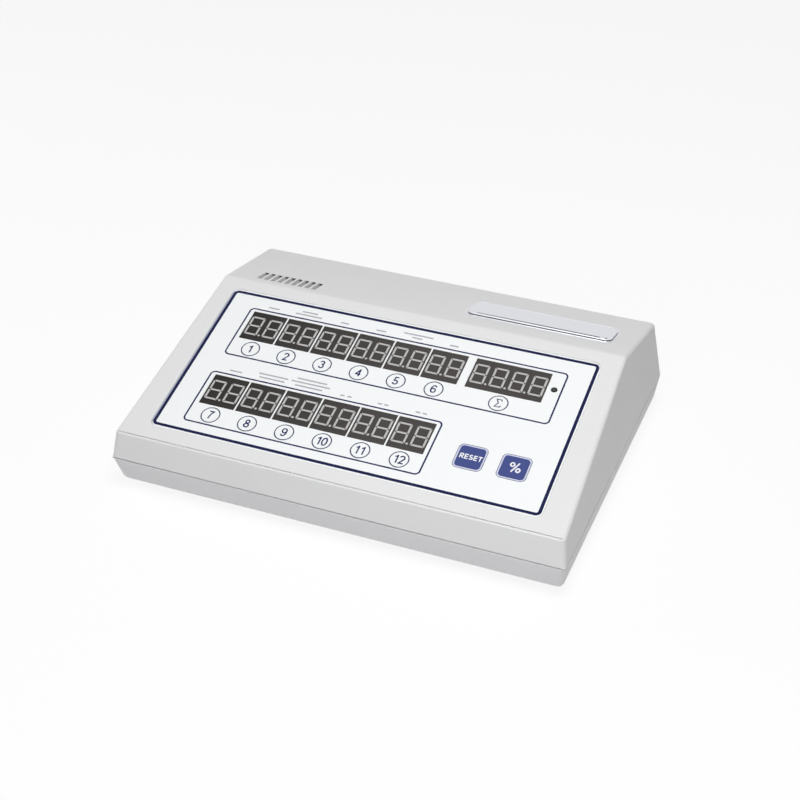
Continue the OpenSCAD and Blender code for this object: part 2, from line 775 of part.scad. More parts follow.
module voltage_regulator() {
    color(black_colour) translate([sink_place[0], sink_place[1] - sink_t / 2, main_top]) {
        translate([-regulator_w / 2, -regulator_tab[0], regulator_lift])
            cube([regulator_w, regulator_tab[0], regulator_tab[1]]);
        translate([-regulator_w / 2, -regulator_tab[0] - regulator_body[0], regulator_lift])
            cube([regulator_w, regulator_body[0], regulator_body[1]]);
        for (x = [-1, 0, 1]) translate([x * lead_pitch - lead_size[0] / 2, -3, 0])
            cube([lead_size[0], lead_size[1], regulator_lift]);
    }
}

// A flat ribbon with a socket at each end, bent between the two headers
module ribbon_cable() {
    steps = 6;
    first = ribbon_drop * [sin(deck_tilt), -cos(deck_tilt)];
    arc = [for (i = [0:steps]) let (a = deck_tilt * (1 - i / steps))
        first + ribbon_r * [cos(a) - cos(deck_tilt), sin(a) - sin(deck_tilt)]];
    run = concat([0.1 * first], arc, [[arc[steps][0], main_top + header_h - seam_z - header_end[1]]]);
    last = run[len(run) - 1];
    color([0.62, 0.63, 0.66]) in_case()
        translate([header_x - header_w / 2 + 2, header_end[0], header_end[1]]) {
            rotate([90, 0, 90]) linear_extrude(header_w - 4) polygon(concat(
                [for (p = run) p + [ribbon_t / 2, 0]],
                [for (i = [len(run) - 1:-1:0]) run[i] - [ribbon_t / 2, 0]]));
            rotate([deck_tilt, 0, 0]) translate([-1, 0.5 - header_t / 2, -plug_h])
                cube([header_w - 2, header_t - 1, plug_h]);
            translate([-1, last[0] + 0.5 - header_t / 2, last[1]]) cube([header_w - 2, header_t - 1, plug_h]);
        }
}

// ---- Transformer ----

module transformer_core() {
    color([0.38, 0.36, 0.34]) translate([core_right, core_back, core_seat_z]) {
        difference() {
            translate([-core_w / 2, -core_t / 2, core_foot_t]) cube([core_w, core_t, core_h]);
            for (x = [-2, 1]) translate([x * core_leg, -core_t / 2 - over, core_foot_t + core_leg])
                cube([core_leg, core_t + 2 * over, core_h - 2 * core_leg]);
        }
        // Mounting strap with an ear at each side
        difference() {
            translate([-core_w / 2 - core_ear, -core_t / 2, 0])
                cube([core_w + 2 * core_ear, core_t, core_foot_t]);
            for (x = [-1, 1]) translate([x * (core_w + core_ear) / 2, 0, -over])
                cylinder(d = core_screw_d + 2 * screw_clear, h = core_foot_t + 2 * over);
        }
    }
}

module transformer_coil() {
    coil_h = core_h - 2 * core_leg - 2 * coil_gap;
    outside = [4 * core_leg - 2 * coil_gap, core_t + 2 * coil_out];
    inside = [2 * (core_leg + coil_gap), core_t + 2 * coil_gap];
    coil_z = core_seat_z + core_foot_t + core_leg + coil_gap;
    color(copper_colour) translate([core_right, core_back, coil_z]) linear_extrude(coil_h) difference() {
        square(outside, center = true);
        square(inside, center = true);
    }
}

module transformer_screws() {
    color(metal_colour) at_each(core_holes) translate([0, 0, core_seat_z + core_foot_t])
        mirror([0, 0, 1]) pan_screw(core_screw_d, core_head_d, 2, core_foot_t + core_thread - 0.6);
}

// ---- Rear bay ----

// A block as wide and high as the bay with a rim, from the bay's floor level to a depth behind it
module bay_block(rim, depth) {
    translate([-bay_w / 2 - rim, -wall, -bay_h / 2 - rim])
        cube([bay_w + 2 * rim, wall + depth, bay_h + 2 * rim]);
}

// What lies at a depth behind the rear wall's outside, seen from the right side
module behind_rear(depth) {
    reach = case_d - depth / cos(rear_draft);
    rotate([90, 0, 90]) linear_extrude(2 * case_w, center = true) polygon([
        [0, 0], [reach, 0], [reach - ridge[1] * tan(rear_draft), ridge[1]], [0, ridge[1]]]);
}

// A tray with a flush rim, and a lip that bears on the rear wall from inside and clears the band
module inlet_bay() {
    color(shell_colour) difference() {
        in_case() {
            intersection() {
                translate([bay_right, bay_floor_y, bay_up]) bay_block(bay_rim, bay_depth);
                behind_rear(0);
            }
            difference() {
                intersection() {
                    translate([bay_right, bay_floor_y, bay_up]) bay_block(bay_rim + bay_lip[0], bay_depth);
                    cavity(upper_walls, side_draft, fit_gap);
                }
                behind_rear(wall + fit_gap + bay_lip[1]);
            }
        }
        in_case() translate([bay_right - bay_w / 2, bay_floor_y, bay_up - bay_h / 2])
            cube([bay_w, bay_depth + over, bay_h]);
        in_bay(inlet_x) {
            translate([0, 0, -wall - over]) linear_extrude(wall + 2 * over)
                square([inlet_w + 2 * fit_gap, inlet_h + 2 * fit_gap], center = true);
            for (x = [-1, 1]) translate([x * inlet_screw_pitch / 2, 0, -wall - over])
                cylinder(d = inlet_screw_d + 2 * thread_gap, h = wall + 2 * over);
        }
        in_bay(switch_x) translate([0, 0, -wall - over]) linear_extrude(wall + 2 * over)
            square([switch_body[0] + 2 * fit_gap, switch_body[1] + 2 * fit_gap], center = true);
    }
}

module solder_tab(place, depth) {
    translate([place[0] - tab_w / 2, place[1] - tab_t / 2, -depth - tab_len])
        cube([tab_w, tab_t, tab_len + tiny]);
}

module mains_inlet() {
    flange = [inlet_screw_pitch + 2 * flange_rim[0], inlet_h + 2 * flange_rim[1]];
    half = [socket_w / 2, socket_h / 2];
    color(black_colour) in_bay(inlet_x) {
        difference() {
            union() {
                slab(flange[0], flange[1], flange_t, flange_r);
                translate([-inlet_w / 2, -inlet_h / 2, -inlet_len])
                    cube([inlet_w, inlet_h, inlet_len + tiny]);
            }
            // The socket, with its two upper corners cut
            translate([0, 0, flange_t - socket_depth]) linear_extrude(socket_depth + over) polygon([
                -half, [half[0], -half[1]], [half[0], half[1] - socket_cut],
                [half[0] - socket_cut, half[1]], [socket_cut - half[0], half[1]],
                [-half[0], half[1] - socket_cut]]);
            for (x = [-1, 1]) translate([x * inlet_screw_pitch / 2, 0, -over])
                cylinder(d = inlet_screw_d + 2 * screw_clear, h = flange_t + 2 * over);
        }
        // Three blades in the socket and three tabs behind it
        for (p = blades) translate([p[0] - blade_t / 2, p[1] - blade_h / 2, flange_t - socket_depth - tiny])
            cube([blade_t, blade_h, blade_len]);
        for (p = tabs) solder_tab(p, inlet_len);
    }
}

module inlet_screws() {
    color(metal_colour) in_bay(inlet_x) for (x = [-1, 1]) translate([x * inlet_screw_pitch / 2, 0, flange_t])
        mirror([0, 0, 1]) pan_screw(inlet_screw_d, inlet_head_d, inlet_head_h, flange_t + wall);
}

// The switch's bezel and body, which snap into the bay's floor
module switch_frame() {
    color(black_colour) in_bay(switch_x) {
        difference() {
            union() {
                slab(switch_bezel[0], switch_bezel[1], switch_bezel[2], 1.5);
                translate([-switch_body[0] / 2, -switch_body[1] / 2, -switch_body[2]])
                    cube([switch_body[0], switch_body[1], switch_body[2] + tiny]);
            }
            translate([-switch_slot[0] / 2, -switch_slot[1] / 2, switch_bezel[2] - switch_slot[2]])
                cube([switch_slot[0], switch_slot[1], switch_slot[2] + over]);
            translate([0, 0, pivot_z]) rotate([0, 90, 0])
                cylinder(d = pivot_d + 2 * pivot_gap, h = switch_body[0] - 0.4, center = true);
        }
        for (y = [-1, 1]) solder_tab([0, y * switch_tab_y], switch_body[2]);
    }
}

// The rocker on its cross pin, seen from the side: two sloping faces above a narrowing back
module switch_rocker() {
    mid = rocker_face - pivot_z;
    end = mid + rocker_half * tan(rocker_half_angle);
    color([0.12, 0.12, 0.13]) in_bay(switch_x) translate([0, 0, pivot_z]) rotate([rocker_half_angle, 0, 0]) {
        rotate([90, 0, 90]) translate([0, 0, -rocker_w / 2]) linear_extrude(rocker_w) polygon([
            [-rocker_half, end], [0, mid], [rocker_half, end], [rocker_half, rocker_face],
            rocker_back, [-rocker_back[0], rocker_back[1]], [-rocker_half, rocker_face]]);
        rotate([0, 90, 0]) cylinder(d = pivot_d, h = switch_body[0] - 0.8, center = true);
    }
}

// ---- Wiring ----

function bezier(a, b, c, d, t) =
    pow(1 - t, 3) * a + 3 * t * pow(1 - t, 2) * b + 3 * t * t * (1 - t) * c + pow(t, 3) * d;
function unit(v) = v / norm(v);

// A round wire along a curve from a to d that leaves towards b and arrives from c.
module wire(a, b, c, d) {
    rings = wire_rings;
    sides = wire_sides;
    path = [for (i = [0:rings]) bezier(a, b, c, d, i / rings)];
    heading = [for (i = [0:rings]) unit(i == 0 ? b - a : i == rings ? d - c : path[i + 1] - path[i - 1])];
    lean = [0.37, 0.21, 0.9];
    points = [for (i = [0:rings]) let (u = unit(cross(heading[i], lean)), v = cross(heading[i], u))
        for (k = [0:sides - 1]) path[i] + wire_r * (u * cos(k * 360 / sides) + v * sin(k * 360 / sides))];
    polyhedron(points = points, faces = concat(
        [[for (k = [0:sides - 1]) k]],
        [for (i = [0:rings - 1], k = [0:sides - 1], half = [0, 1]) half == 0
            ? [i * sides + k, (i + 1) * sides + k, i * sides + (k + 1) % sides]
            : [i * sides + (k + 1) % sides, (i + 1) * sides + k, (i + 1) * sides + (k + 1) % sides]],
        [[for (k = [sides - 1:-1:0]) rings * sides + k]]));
}

// A point behind the bay's floor: to the side of x, above the bay's middle and this far back
function bay_point(x, side, up, back) = [x - side, bay_floor_y - back - case_d / 2, seam_z + bay_up + up];

module wire_harness() {
    back = inlet_len + tab_len + wire_gap;
    switch_back = switch_body[2] + tab_len + wire_gap;
    // The live wire leaves its tabs at a slant, so it starts one radius further back
    live = bay_point(inlet_x, tabs[1][0], tabs[1][1], back + wire_r);
    feed = bay_point(switch_x, 0, switch_tab_y, switch_back + wire_r);
    neutral = bay_point(inlet_x, tabs[0][0], tabs[0][1], back);
    load = bay_point(switch_x, 0, -switch_tab_y, switch_back);
    coil_top = core_seat_z + core_foot_t + core_h - core_leg - coil_gap + wire_gap;
    coil_back = core_back + core_t / 2 + 5;
    coil_front = core_back - core_t / 2 - 5;
    terminal_top = main_top + terminal_h + wire_gap;
    rise = [0, 0, 10];
    inward = [0, -8, 0];
    over_top = inward + 1.5 * rise;
    load_end = [core_right - core_leg, coil_back, coil_top];
    neutral_end = [core_right + core_leg, coil_back, coil_top];
    color([0.45, 0.25, 0.12]) {
        wire(live, live + over_top, feed + over_top, feed);
        wire(load, load + inward, load_end + rise, load_end);
    }
    color([0.15, 0.3, 0.6]) wire(neutral, neutral + inward, neutral_end + rise, neutral_end);
    color([0.75, 0.15, 0.12]) for (side = [-2.5, 2.5]) {
        from = [core_right, coil_front + side, coil_top];
        to = [terminal[0], terminal[1] + side, terminal_top];
        wire(from, from + 1.6 * rise, to + 2 * rise, to);
    }
}

// ---- Nodes ----

upper_housing();
lower_housing();
control_panel();
nameplate();
display_board();
for (i = [1:2 * row_count]) dual_display(i);
total_display();
indicator_light();
for (i = [1:2 * row_count]) round_key(count_keys[i - 1]);
round_key(sum_place);  // sum_key
square_key(reset_place);  // reset_key
square_key(percent_place);  // percent_key
key_switches();
display_board_screws();
main_board();
processor_chip();
driver_chips();
capacitors();
buzzer();
voltage_regulator();
heat_sink();
transformer_core();
transformer_coil();
transformer_screws();
inlet_bay();
mains_inlet();
inlet_screws();
switch_frame();
switch_rocker();
ribbon_cable();
main_board_screws();
wire_harness();
case_screws_node();  // case_screws
for (i = [1:4]) rubber_foot(i);
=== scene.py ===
"""Looks of a differential cell counter: a wedge-shaped bench instrument with a key panel."""

from math import cos, pi, radians, sin, tan

import bmesh
import bpy
from mathutils import Matrix, Vector


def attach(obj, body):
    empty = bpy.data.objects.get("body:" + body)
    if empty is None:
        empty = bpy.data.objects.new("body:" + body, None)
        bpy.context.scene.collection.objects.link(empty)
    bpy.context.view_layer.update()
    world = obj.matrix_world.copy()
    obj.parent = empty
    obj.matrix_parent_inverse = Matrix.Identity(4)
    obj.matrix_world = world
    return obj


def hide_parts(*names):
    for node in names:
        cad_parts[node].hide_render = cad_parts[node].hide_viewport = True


bl_info = {
    "name": "Differential cell counter",
    "version": (1, 0, 0),
    "blender": (4, 5, 0),
    "location": "View3D > Sidebar > Counter",
    "description": "Builds the housings, control panel, displays and keys of a cell counter",
    "category": "Object",
}

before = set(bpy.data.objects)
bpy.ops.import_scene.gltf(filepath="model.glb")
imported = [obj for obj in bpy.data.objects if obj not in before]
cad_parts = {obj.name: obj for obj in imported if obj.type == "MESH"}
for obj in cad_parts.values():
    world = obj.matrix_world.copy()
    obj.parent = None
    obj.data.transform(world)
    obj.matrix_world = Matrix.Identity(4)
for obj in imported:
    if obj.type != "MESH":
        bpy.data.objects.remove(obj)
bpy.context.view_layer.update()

MM = 0.001
CASE_BODY = "case"
OVER = 1.0 * MM                     # how far a cutter passes a surface
UNDER = 0.02 * MM                   # how far print reaches into its ground
FIT_GAP = 0.15 * MM                 # around pieces that fit into each other
ROOM_PAST = 10 * MM                 # how far a shell's room passes its open side
RIM_RADIUS = 0.5 * MM               # of the rims along the seam
TONGUE_HEIGHT = 2.6 * MM            # of the tongue that locates the shells, above the seam
TONGUE_INSET = 1.6 * MM

CASE_SCREW_IN = (20.5 * MM, 19.5 * MM)          # from the case's sides, and from front and back
CASE_BOSS_RADIUS = 4.75 * MM
CASE_BOSS_TOP = 60 * MM
THREAD_RADIUS = 1.55 * MM
THREAD_TOP = 14.6 * MM
SCREW_HOLE_RADIUS = 1.7 * MM
POCKET_RADIUS = 3 * MM
POCKET_DOWN = 6 * MM                # from the tongue's top to the screw pockets' ends
FOOT_IN = (38 * MM, 30 * MM)
FOOT_HOLE_RADIUS = 2.65 * MM

BOARD_BOSS_IN = 4.5 * MM            # from a board's edges
BOARD_BOSS_RADIUS = 3.5 * MM
DISPLAY_BOARD_HALF = (111 * MM, 55.5 * MM)
DISPLAY_BOARD_UP = 1 * MM           # its middle above the panel's
DISPLAY_BOARD_ROWS = (-1, 0.02, 1)  # where its side bosses stand, as parts of its half height
DISPLAY_BOARD_MIDDLE_BOSS = (0, -2.4 * MM)
MAIN_BOARD_MIDDLE = (-40 * MM, 20 * MM)
MAIN_BOARD_HALF = (75 * MM, 47.5 * MM)
MAIN_BOSS_HEIGHT = 9 * MM
CORE_SCREWS = ((55 * MM, 38 * MM), (113 * MM, 38 * MM))
CORE_BOSS_HEIGHT = 7 * MM

VENT_LEAN = radians(24)             # of the slots, backwards through the wall
VENT_UNDERCUT = radians(64)         # of their rear ends
VENT_DRAFT = radians(11)            # of their sides, inwards
LIP = 0.3 * MM                      # round mouth of the panel's and the plate's seats
GROOVE_IN = 1.3 * MM                # the fine groove, from the deck's front edge
GROOVE_WIDTH = 1.1 * MM
GROOVE_DEPTH = 0.9 * MM
GROOVE_SIDE = 3.6 * MM              # from the case's sides to its ends

BAY_RIM = 2 * MM
BAY_CORNER = 0.2 * MM
SWITCH_RIGHT = 56.5 * MM            # the switch's place, to the right of the case's middle
ROCKER_PIVOT = -3 * MM              # out of the bay's floor
ROCKER_MIDDLE = 4.2 * MM            # from the pivot to the fold between the rocker's faces
ROCKER_TILT = radians(12)
ROCKER_MARK = 3.6 * MM              # from the fold to a mark
MARK_REACH = 1.3 * MM
MARK_HALF_LINE = 0.2 * MM

PLATE_SEAT = 0.7 * MM               # depth of its seat in the band
PLATE_RIM = 0.5 * MM                # how far its low rim stands out
PLATE_RIM_TOP = 0.55 * MM
PLATE_GAP_IN = 0.7 * MM             # depth of the dark gap above the rim
PLATE_FOOT = 1.25 * MM              # where the gap ends
PLATE_STEP = 0.05 * MM
PLATE_BEVEL = 0.65 * MM
PLATE_BEVEL_DROP = 0.75 * PLATE_BEVEL
PLATE_LAND = (0.25 * MM, 0.4 * MM)  # from the bevel to the flat edge's end and to the face
PLATE_SINK = 0.12 * MM              # the face below the flat edge
# from the plate's outline to the band of painted shade in the gap above the rim
SHADE_BAND_IN = 0.25 * MM
LINE_ENDS = (7 * MM, 7.5 * MM)      # the engraved line, from the plate's left and right ends
LINE_IN = 1.6 * MM                  # its right end, from the lower edge
LINE_RISE = 0.7 * MM                # how much farther in its left end lies
LINE_HALVES = (0.45 * MM, 0.9 * MM)             # half its width at the left and right ends
LINE_DEPTH = 0.1 * MM
DOT_IN = (3.6 * MM, 0.3 * MM)       # the engraved dot, from the plate's end and above the line
DOT_RADIUS = 1 * MM

INK = 0.03 * MM                     # height of print
BORDER_RADIUS = 3.5 * MM            # outer corner of the border
FRAME_RADIUS = 2.8 * MM
RING_SIDES = 72                     # of round keys and their rings
RIM_WIDTH = 18.4 * MM               # of the printed rim round a square key
RIM_LINE = 0.35 * MM
RIM_CORNERS = (3.4 * MM, 2.9 * MM)  # of the rim's line and of the pale rim inside it
MARGIN_GAP = 0.1 * MM               # from the grey strip of painted shade to the sheet's edge and the border
SHEET_EDGE = 0.12 * MM
HOLE_LIP = 0.08 * MM
WINDOW_RADIUS = 0.25 * MM
SLOT_RADIUS = 0.3 * MM
FRAME_1 = (-109.0, 110.2, 6.15, 48.6)           # left, right, bottom and top in mm
FRAME_2 = (-109.2, 48.5, -52.7, -10.2)
# Rows of grey dashes where captions stand: (level in mm, [(left, right), ...])
CAPTIONS = [
    (52.1, [(-98, -90.2), (-78.4, -59.5), (-45.9, -40.1), (-20.7, -13.9), (4.3, 11.3), (30.2, 36)]),
    (54.7, [(-74.6, -63.3), (-2.3, 17.9)]),
    (-6.7, [(-98.5, -90), (-77.6, -60), (-52.7, -33.8), (-21.3, -18.4), (-16.6, -13.7), (4, 7.1),
            (8.3, 11.3), (29.2, 32.3), (33.8, 36.8)]),
    (-3.8, [(-79.1, -58.7), (-56.4, -29.7)]),
    (-1.0, [(-53.2, -32.8)]),
]
CAPTION_STROKE = 1.1 * MM
CAPTION_RADIUS = 0.15 * MM

KEY_LEVELS = (13.9 * MM, -44.9 * MM)            # places of keys, from the panel's middle
SUM_PLACE = (75.9 * MM, 13.9 * MM)
RESET_PLACE = (73.8 * MM, -31.5 * MM)
PERCENT_PLACE = (101.4 * MM, -31.5 * MM)
KEY_GAP = 0.2 * MM                  # around a cap
KEY_EDGE = 0.15 * MM                # rounding of a cap, and how far a round one stands out
SQUARE_PROUD = 0.2 * MM             # how much farther a square cap stands out
SQUARE_RADIUS = 2 * MM
ROUND_THICKNESS = 0.5 * MM
SQUARE_THICKNESS = 0.7 * MM
STEM_RADIUS = 1.6 * MM
STEM_LOW = 2.75 * MM                # the stems' ends above the display board
LETTER_GAP = 0.1 * MM
NUMERAL_WEIGHT = 0.94 * MM
SUM_SIZE = (6.6 * MM, 0.64 * MM)    # height and weight of the legends
RESET_SIZE = (3.7 * MM, 0.74 * MM)
PERCENT_SIZE = (7.2 * MM, 0.98 * MM)
RESET_STRETCH = 1.05
RESET_SHIFT = 0.4 * MM              # to the right of the key's middle
PERCENT_SHIFT = 0.7 * MM
LED_PLACE = (105.4 * MM, 33.9 * MM)
LED_RADIUS = 2 * MM
LED_EDGE = 0.2 * MM

DISPLAY_HEIGHT = 8 * MM
DISPLAY_BAR = 1 * MM                # white bar between displays
DIGIT_AT = (1.2 * MM, 4.6 * MM)     # a digit's lower left corner, from the window's
DOT_AT = (12 * MM, 5.3 * MM)        # the decimal point's middle, from the window's corner
DOT_HALF = 0.8 * MM
SEGMENT_GAP = 0.2 * MM
SEGMENT_TOP = 0.04 * MM
SEGMENT_REACH = 0.6                 # outer reach of a segment, in half strokes


def srgb(red, green, blue):
    """A colour written in 8-bit steps, as linear values."""
    steps = [channel / 255 for channel in (red, green, blue)]
    return tuple(c / 12.92 if c <= 0.04045 else ((c + 0.055) / 1.055) ** 2.4 for c in steps)


# ---- Settings ----


def length(name, rest, millimetres):
    return bpy.props.FloatProperty(name=name, description=f"{name} {rest}",
                                   default=millimetres * MM, unit="LENGTH", precision=5)


def angle(name, rest, degrees):
    return bpy.props.FloatProperty(name=name, description=f"{name} {rest}",
                                   default=radians(degrees), subtype="ANGLE")


def amount(name, rest, value):
    return bpy.props.FloatProperty(name=name, description=f"{name} {rest}", default=value)


def whole_number(name, rest, value):
    return bpy.props.IntProperty(name=name, description=f"{name} {rest}", default=value,
                                 min=1)


def tint(name, rest, *channels):
    return bpy.props.FloatVectorProperty(name=name, description=f"{name} {rest}", size=3,
                                         min=0, max=1, subtype="COLOR",
                                         default=srgb(*channels))


class CaseSizes(bpy.types.PropertyGroup):
    """Sizes of the two shells and what is cut in them."""
    width: length("Width", "of the case at the seam", 297)
    depth: length("Depth", "of the case at the seam", 223)
    lower_height: length("Height", "of the lower shell up to the seam", 20.5)
    foot_height: length("Foot height", "under the lower shell", 3)
    front_height: length("Front height", "of the deck's edge above the seam", 17.8)
    deck_length: length("Deck length", "from the front edge to the ridge", 147.2)
    deck_tilt: angle("Deck slope", "against the table", 15.3)
    band_tilt: angle("Band slope", "behind the ridge", 11.5)
    side_draft: angle("Side lean", "inwards", 8)
    front_draft: angle("Front lean", "inwards", 12)
    rear_draft: angle("Rear lean", "inwards", 10)
    chin_draft: angle("Chin lean", "inwards, of the lower shell's front", 17)
    wall: length("Wall thickness", "of the shells", 3)
    edge_radius: length("Edge radius", "of the upper shell", 2.4)
    front_radius: length("Front radius", "of the deck's front edge", 1.0)
    base_radius: length("Base radius", "of the lower shell's bottom edges", 6)
    corner_radius: length("Corner radius", "of the upright corners", 3.5)
    ridge_radius: length("Ridge radius", "between deck and band", 5)
    seam_gap: length("Seam height", "of the shadow groove", 0.8)
    vent_count: whole_number("Vents", "in the row of slots", 9)
    vent_pitch: length("Vent pitch", "from one slot to the next", 5.05)
    vent_width: length("Vent width", "of one slot", 3.35)
    vent_length: length("Vent length", "of one slot", 13.4)
    vent_back: length("Vent place", "behind the ridge", 6)
    vent_left: length("Vent side", "of the row's middle, to the left of the case's", 98.1)
    bay_width: length("Bay width", "in the rear wall", 72)
    bay_height: length("Bay height", "in the rear wall", 30)
    bay_depth: length("Bay depth", "from the seam's rear edge", 12)
    bay_right: length("Bay place", "to the right of the case's middle", 82)
    bay_up: length("Bay level", "above the seam", 21)


class PlateSizes(bpy.types.PropertyGroup):
    """Sizes of the bare plate on the band."""
    width: length("Width", "of the plate", 98)
    depth: length("Depth", "of the plate along the band", 24.7)
    thickness: length("Thickness", "of the plate", 2.7)
    radius: length("Corner radius", "of the plate", 5)
    right: length("Place", "to the right of the case's middle", 76.5)
    back: length("Distance", "from the ridge to the plate's middle", 29.5)


class PanelSizes(bpy.types.PropertyGroup):
    """Sizes of the control panel, its print and its keys."""
    width: length("Width", "of the panel", 256)
    height: length("Height", "of the panel along the deck", 125.5)
    thickness: length("Thickness", "of the panel", 1)
    recess: length("Recess", "of the deck under the panel", 1.4)
    radius: length("Corner radius", "of the panel", 5.5)
    at: length("Place", "of the panel's middle, from the deck's front edge", 74.6)
    border_width: length("Border width", "at the middle of its line", 252)
    border_height: length("Border height", "at the middle of its line", 121)
    border_line: length("Border line", "thickness", 2.1)
    frame_line: length("Frame line", "thickness, round the displays", 1.1)
    ring_radius: length("Ring radius", "round a round key", 5.95)
    ring_line: length("Ring line", "thickness", 0.7)
    key_diameter: length("Key diameter", "of a round key", 11.2)
    square_key: length("Key width", "of a square key", 15.8)
    numeral_height: length("Numeral height", "on the keys", 6.15)


class DisplaySizes(bpy.types.PropertyGroup):
    """Sizes and places of the displays, from the panel's middle."""
    pitch: length("Digit pitch", "from one digit to the next", 12.7)
    row_count: whole_number("Displays", "of two digits in a row", 6)
    total_digits: whole_number("Total digits", "in the total's display", 4)
    window_height: length("Window height", "of a display", 24.9)
    drop: length("Drop", "of the display faces below the deck", 0.55)
    left: length("Left edge", "of the first window, to the left of the middle", 105.9)
    total_right: length("Total place", "of its left edge, to the right of the middle", 50.9)
    row_1_up: length("Row 1 level", "above the panel's middle", 33.9)
    row_2_down: length("Row 2 level", "below the panel's middle", 24.8)
    digit_width: length("Digit width", "over its outer edges", 9.3)
    digit_height: length("Digit height", "over its outer edges", 16)
    stroke: length("Stroke", "of a segment", 1.3)


class CounterColours(bpy.types.PropertyGroup):
    """Colours of the pieces."""
    upper: tint("Upper housing", "of light grey moulded plastic", 230, 230, 231)
    lower: tint("Lower housing", "of light grey moulded plastic", 234, 234, 236)
    sheet: tint("Panel sheet", "of white polyester", 247, 249, 250)
    border: tint("Border", "in navy", 20, 25, 68)
    # painted shade: a grey strip that stands in for the shade in the recess beside the border
    margin: tint("Margin", "in grey, outside the border", 172, 176, 192)
    frames: tint("Frames", "in thin navy lines", 34, 41, 84)
    numerals: tint("Numerals", "on the keys", 34, 40, 88)
    captions: tint("Captions", "as small grey dashes", 176, 177, 184)
    key_blue: tint("Blue keys", "for reset and percent", 66, 77, 136)
    key_rim: tint("Key rims", "round the blue keys", 213, 217, 240)
    legend: tint("Legends", "on the blue keys", 246, 247, 250)
    display: tint("Display faces", "behind the segments", 60, 57, 56)
    segment: tint("Segments", "when they are not lit", 190, 189, 188)
    plate: tint("Silver plate", "on the band", 216, 217, 222)


class StageSettings(bpy.types.PropertyGroup):
    """Camera and light."""
    camera_x: length("Camera X", "to the right", 311.75)
    camera_y: length("Camera Y", "to the back", -747.14)
    camera_z: length("Camera Z", "above the table", 578.81)
    camera_pitch: angle("Camera pitch", "from straight down", 56.2453)
    camera_roll: angle("Camera roll", "about its line of sight", -0.3851)
    camera_turn: angle("Camera turn", "about the upright", 21.0975)
    focal_length: amount("Focal length", "in mm, on a 36 mm sensor", 67.436)
    shift_x: amount("Shift X", "of the picture, sideways", -0.0466)
    shift_y: amount("Shift Y", "of the picture, upwards", -0.0062)
    world_strength: amount("World strength", "of the sky", 0.1)
    top_power: amount("Top power", "of the top lamp in watts", 9.6)
    front_power: amount("Front power", "of the front lamp in watts", 4.8)
    side_power: amount("Side power", "of the side lamp in watts", 0.35)
    left_power: amount("Left power", "of the left lamp in watts", 2.0)


def chosen(*names):
    """The groups of settings with those names."""
    groups = [getattr(bpy.context.scene, f"counter_{name}") for name in names]
    return groups[0] if len(groups) == 1 else groups


# ---- Frames of the case, as matrices ----


def moved(x=0.0, y=0.0, z=0.0):
    return Matrix.Translation((x, y, z))


def turned(turn, axis="X"):
    return Matrix.Rotation(turn, 4, axis)


def case_frame():
    """x from the case's middle, y from the seam's front edge, z from the seam."""
    case = chosen("case")
    return moved(0, -case.depth / 2, case.foot_height + case.lower_height)


def deck_point(distance):
    """y and z in the case frame of a point of the deck, that far from its front edge."""
    case = chosen("case")
    edge = Vector((case.front_height * tan(case.front_draft), case.front_height))
    return edge + distance * Vector((cos(case.deck_tilt), sin(case.deck_tilt)))


def deck_frame(level=0.0):
    """x and y in the deck from the panel's middle, z out of the deck from that level."""
    case, panel = chosen("case", "panel")
    middle = moved(0, *deck_point(panel.at))
    return case_frame() @ middle @ turned(case.deck_tilt) @ moved(z=level)


def band_frame():
    """x and y in the band from the ridge, z out of the band."""
    case = chosen("case")
    return case_frame() @ moved(0, *deck_point(case.deck_length)) @ turned(-case.band_tilt)


def bay_frame():
    """The bay's floor: x to the left seen from behind, y up, z out of the bay."""
    case = chosen("case")
    spot = moved(case.bay_right, case.depth - case.bay_depth, case.bay_up)
    return case_frame() @ spot @ turned(pi, "Z") @ turned(pi / 2)


# ---- Mesh helpers ----


def add_object(name, mesh):
    obj = bpy.data.objects.new(name, mesh)
    bpy.context.scene.collection.objects.link(obj)
    return obj


def drop(obj):
    mesh = obj.data
    bpy.data.objects.remove(obj)
    bpy.data.meshes.remove(mesh)


def face_outwards(obj):
    edit = bmesh.new()
    edit.from_mesh(obj.data)
    bmesh.ops.remove_doubles(edit, verts=edit.verts, dist=1e-7)
    bmesh.ops.recalc_face_normals(edit, faces=edit.faces)
    edit.to_mesh(obj.data)
    edit.free()
    return obj


def build(name, points, faces):
    mesh = bpy.data.meshes.new(name)
    mesh.from_pydata([tuple(p) for p in points], [], faces)
    mesh.validate()
    return face_outwards(add_object(name, mesh))


def modify(obj, kind, sockets=(), **values):
    """Applies a modifier with those values; sockets gives the keys of a node group's inputs."""
    modifier = obj.modifiers.new(kind.lower(), kind)
    for name, value in values.items():
        if name in sockets:
            modifier[sockets[name]] = value
        else:
            setattr(modifier, name, value)
    graph = bpy.context.evaluated_depsgraph_get()
    graph.update()
    mesh = bpy.data.meshes.new_from_object(obj.evaluated_get(graph), depsgraph=graph,
                                           preserve_all_data_layers=True)
    obj.modifiers.clear()
    old = obj.data
    obj.data = mesh
    bpy.data.meshes.remove(old)
    mesh.name = obj.name
    return obj


def combine(obj, tool, operation="DIFFERENCE"):
    """Cuts tool from obj, or adds it, and removes tool."""
    modify(obj, "BOOLEAN", object=tool, operation=operation, solver="MANIFOLD")
    drop(tool)
    return obj


def join(name, objects):
    """One object with the meshes of all."""
    edit = bmesh.new()
    for obj in objects:
        edit.from_mesh(obj.data)
        drop(obj)
    mesh = bpy.data.meshes.new(name)
    edit.to_mesh(mesh)
    edit.free()
    return add_object(name, mesh)


def place(obj, matrix):
    obj.data.transform(matrix)
    obj.data.update()
    return obj


def smooth(obj):
    """Smooth shading that keeps flat faces flat and edges sharp."""
    mesh = obj.data
    for polygon in mesh.polygons:
        polygon.use_smooth = True
    mesh.set_sharp_from_angle(angle=radians(30))
    return modify(obj, "WEIGHTED_NORMAL", keep_sharp=True, weight=100)


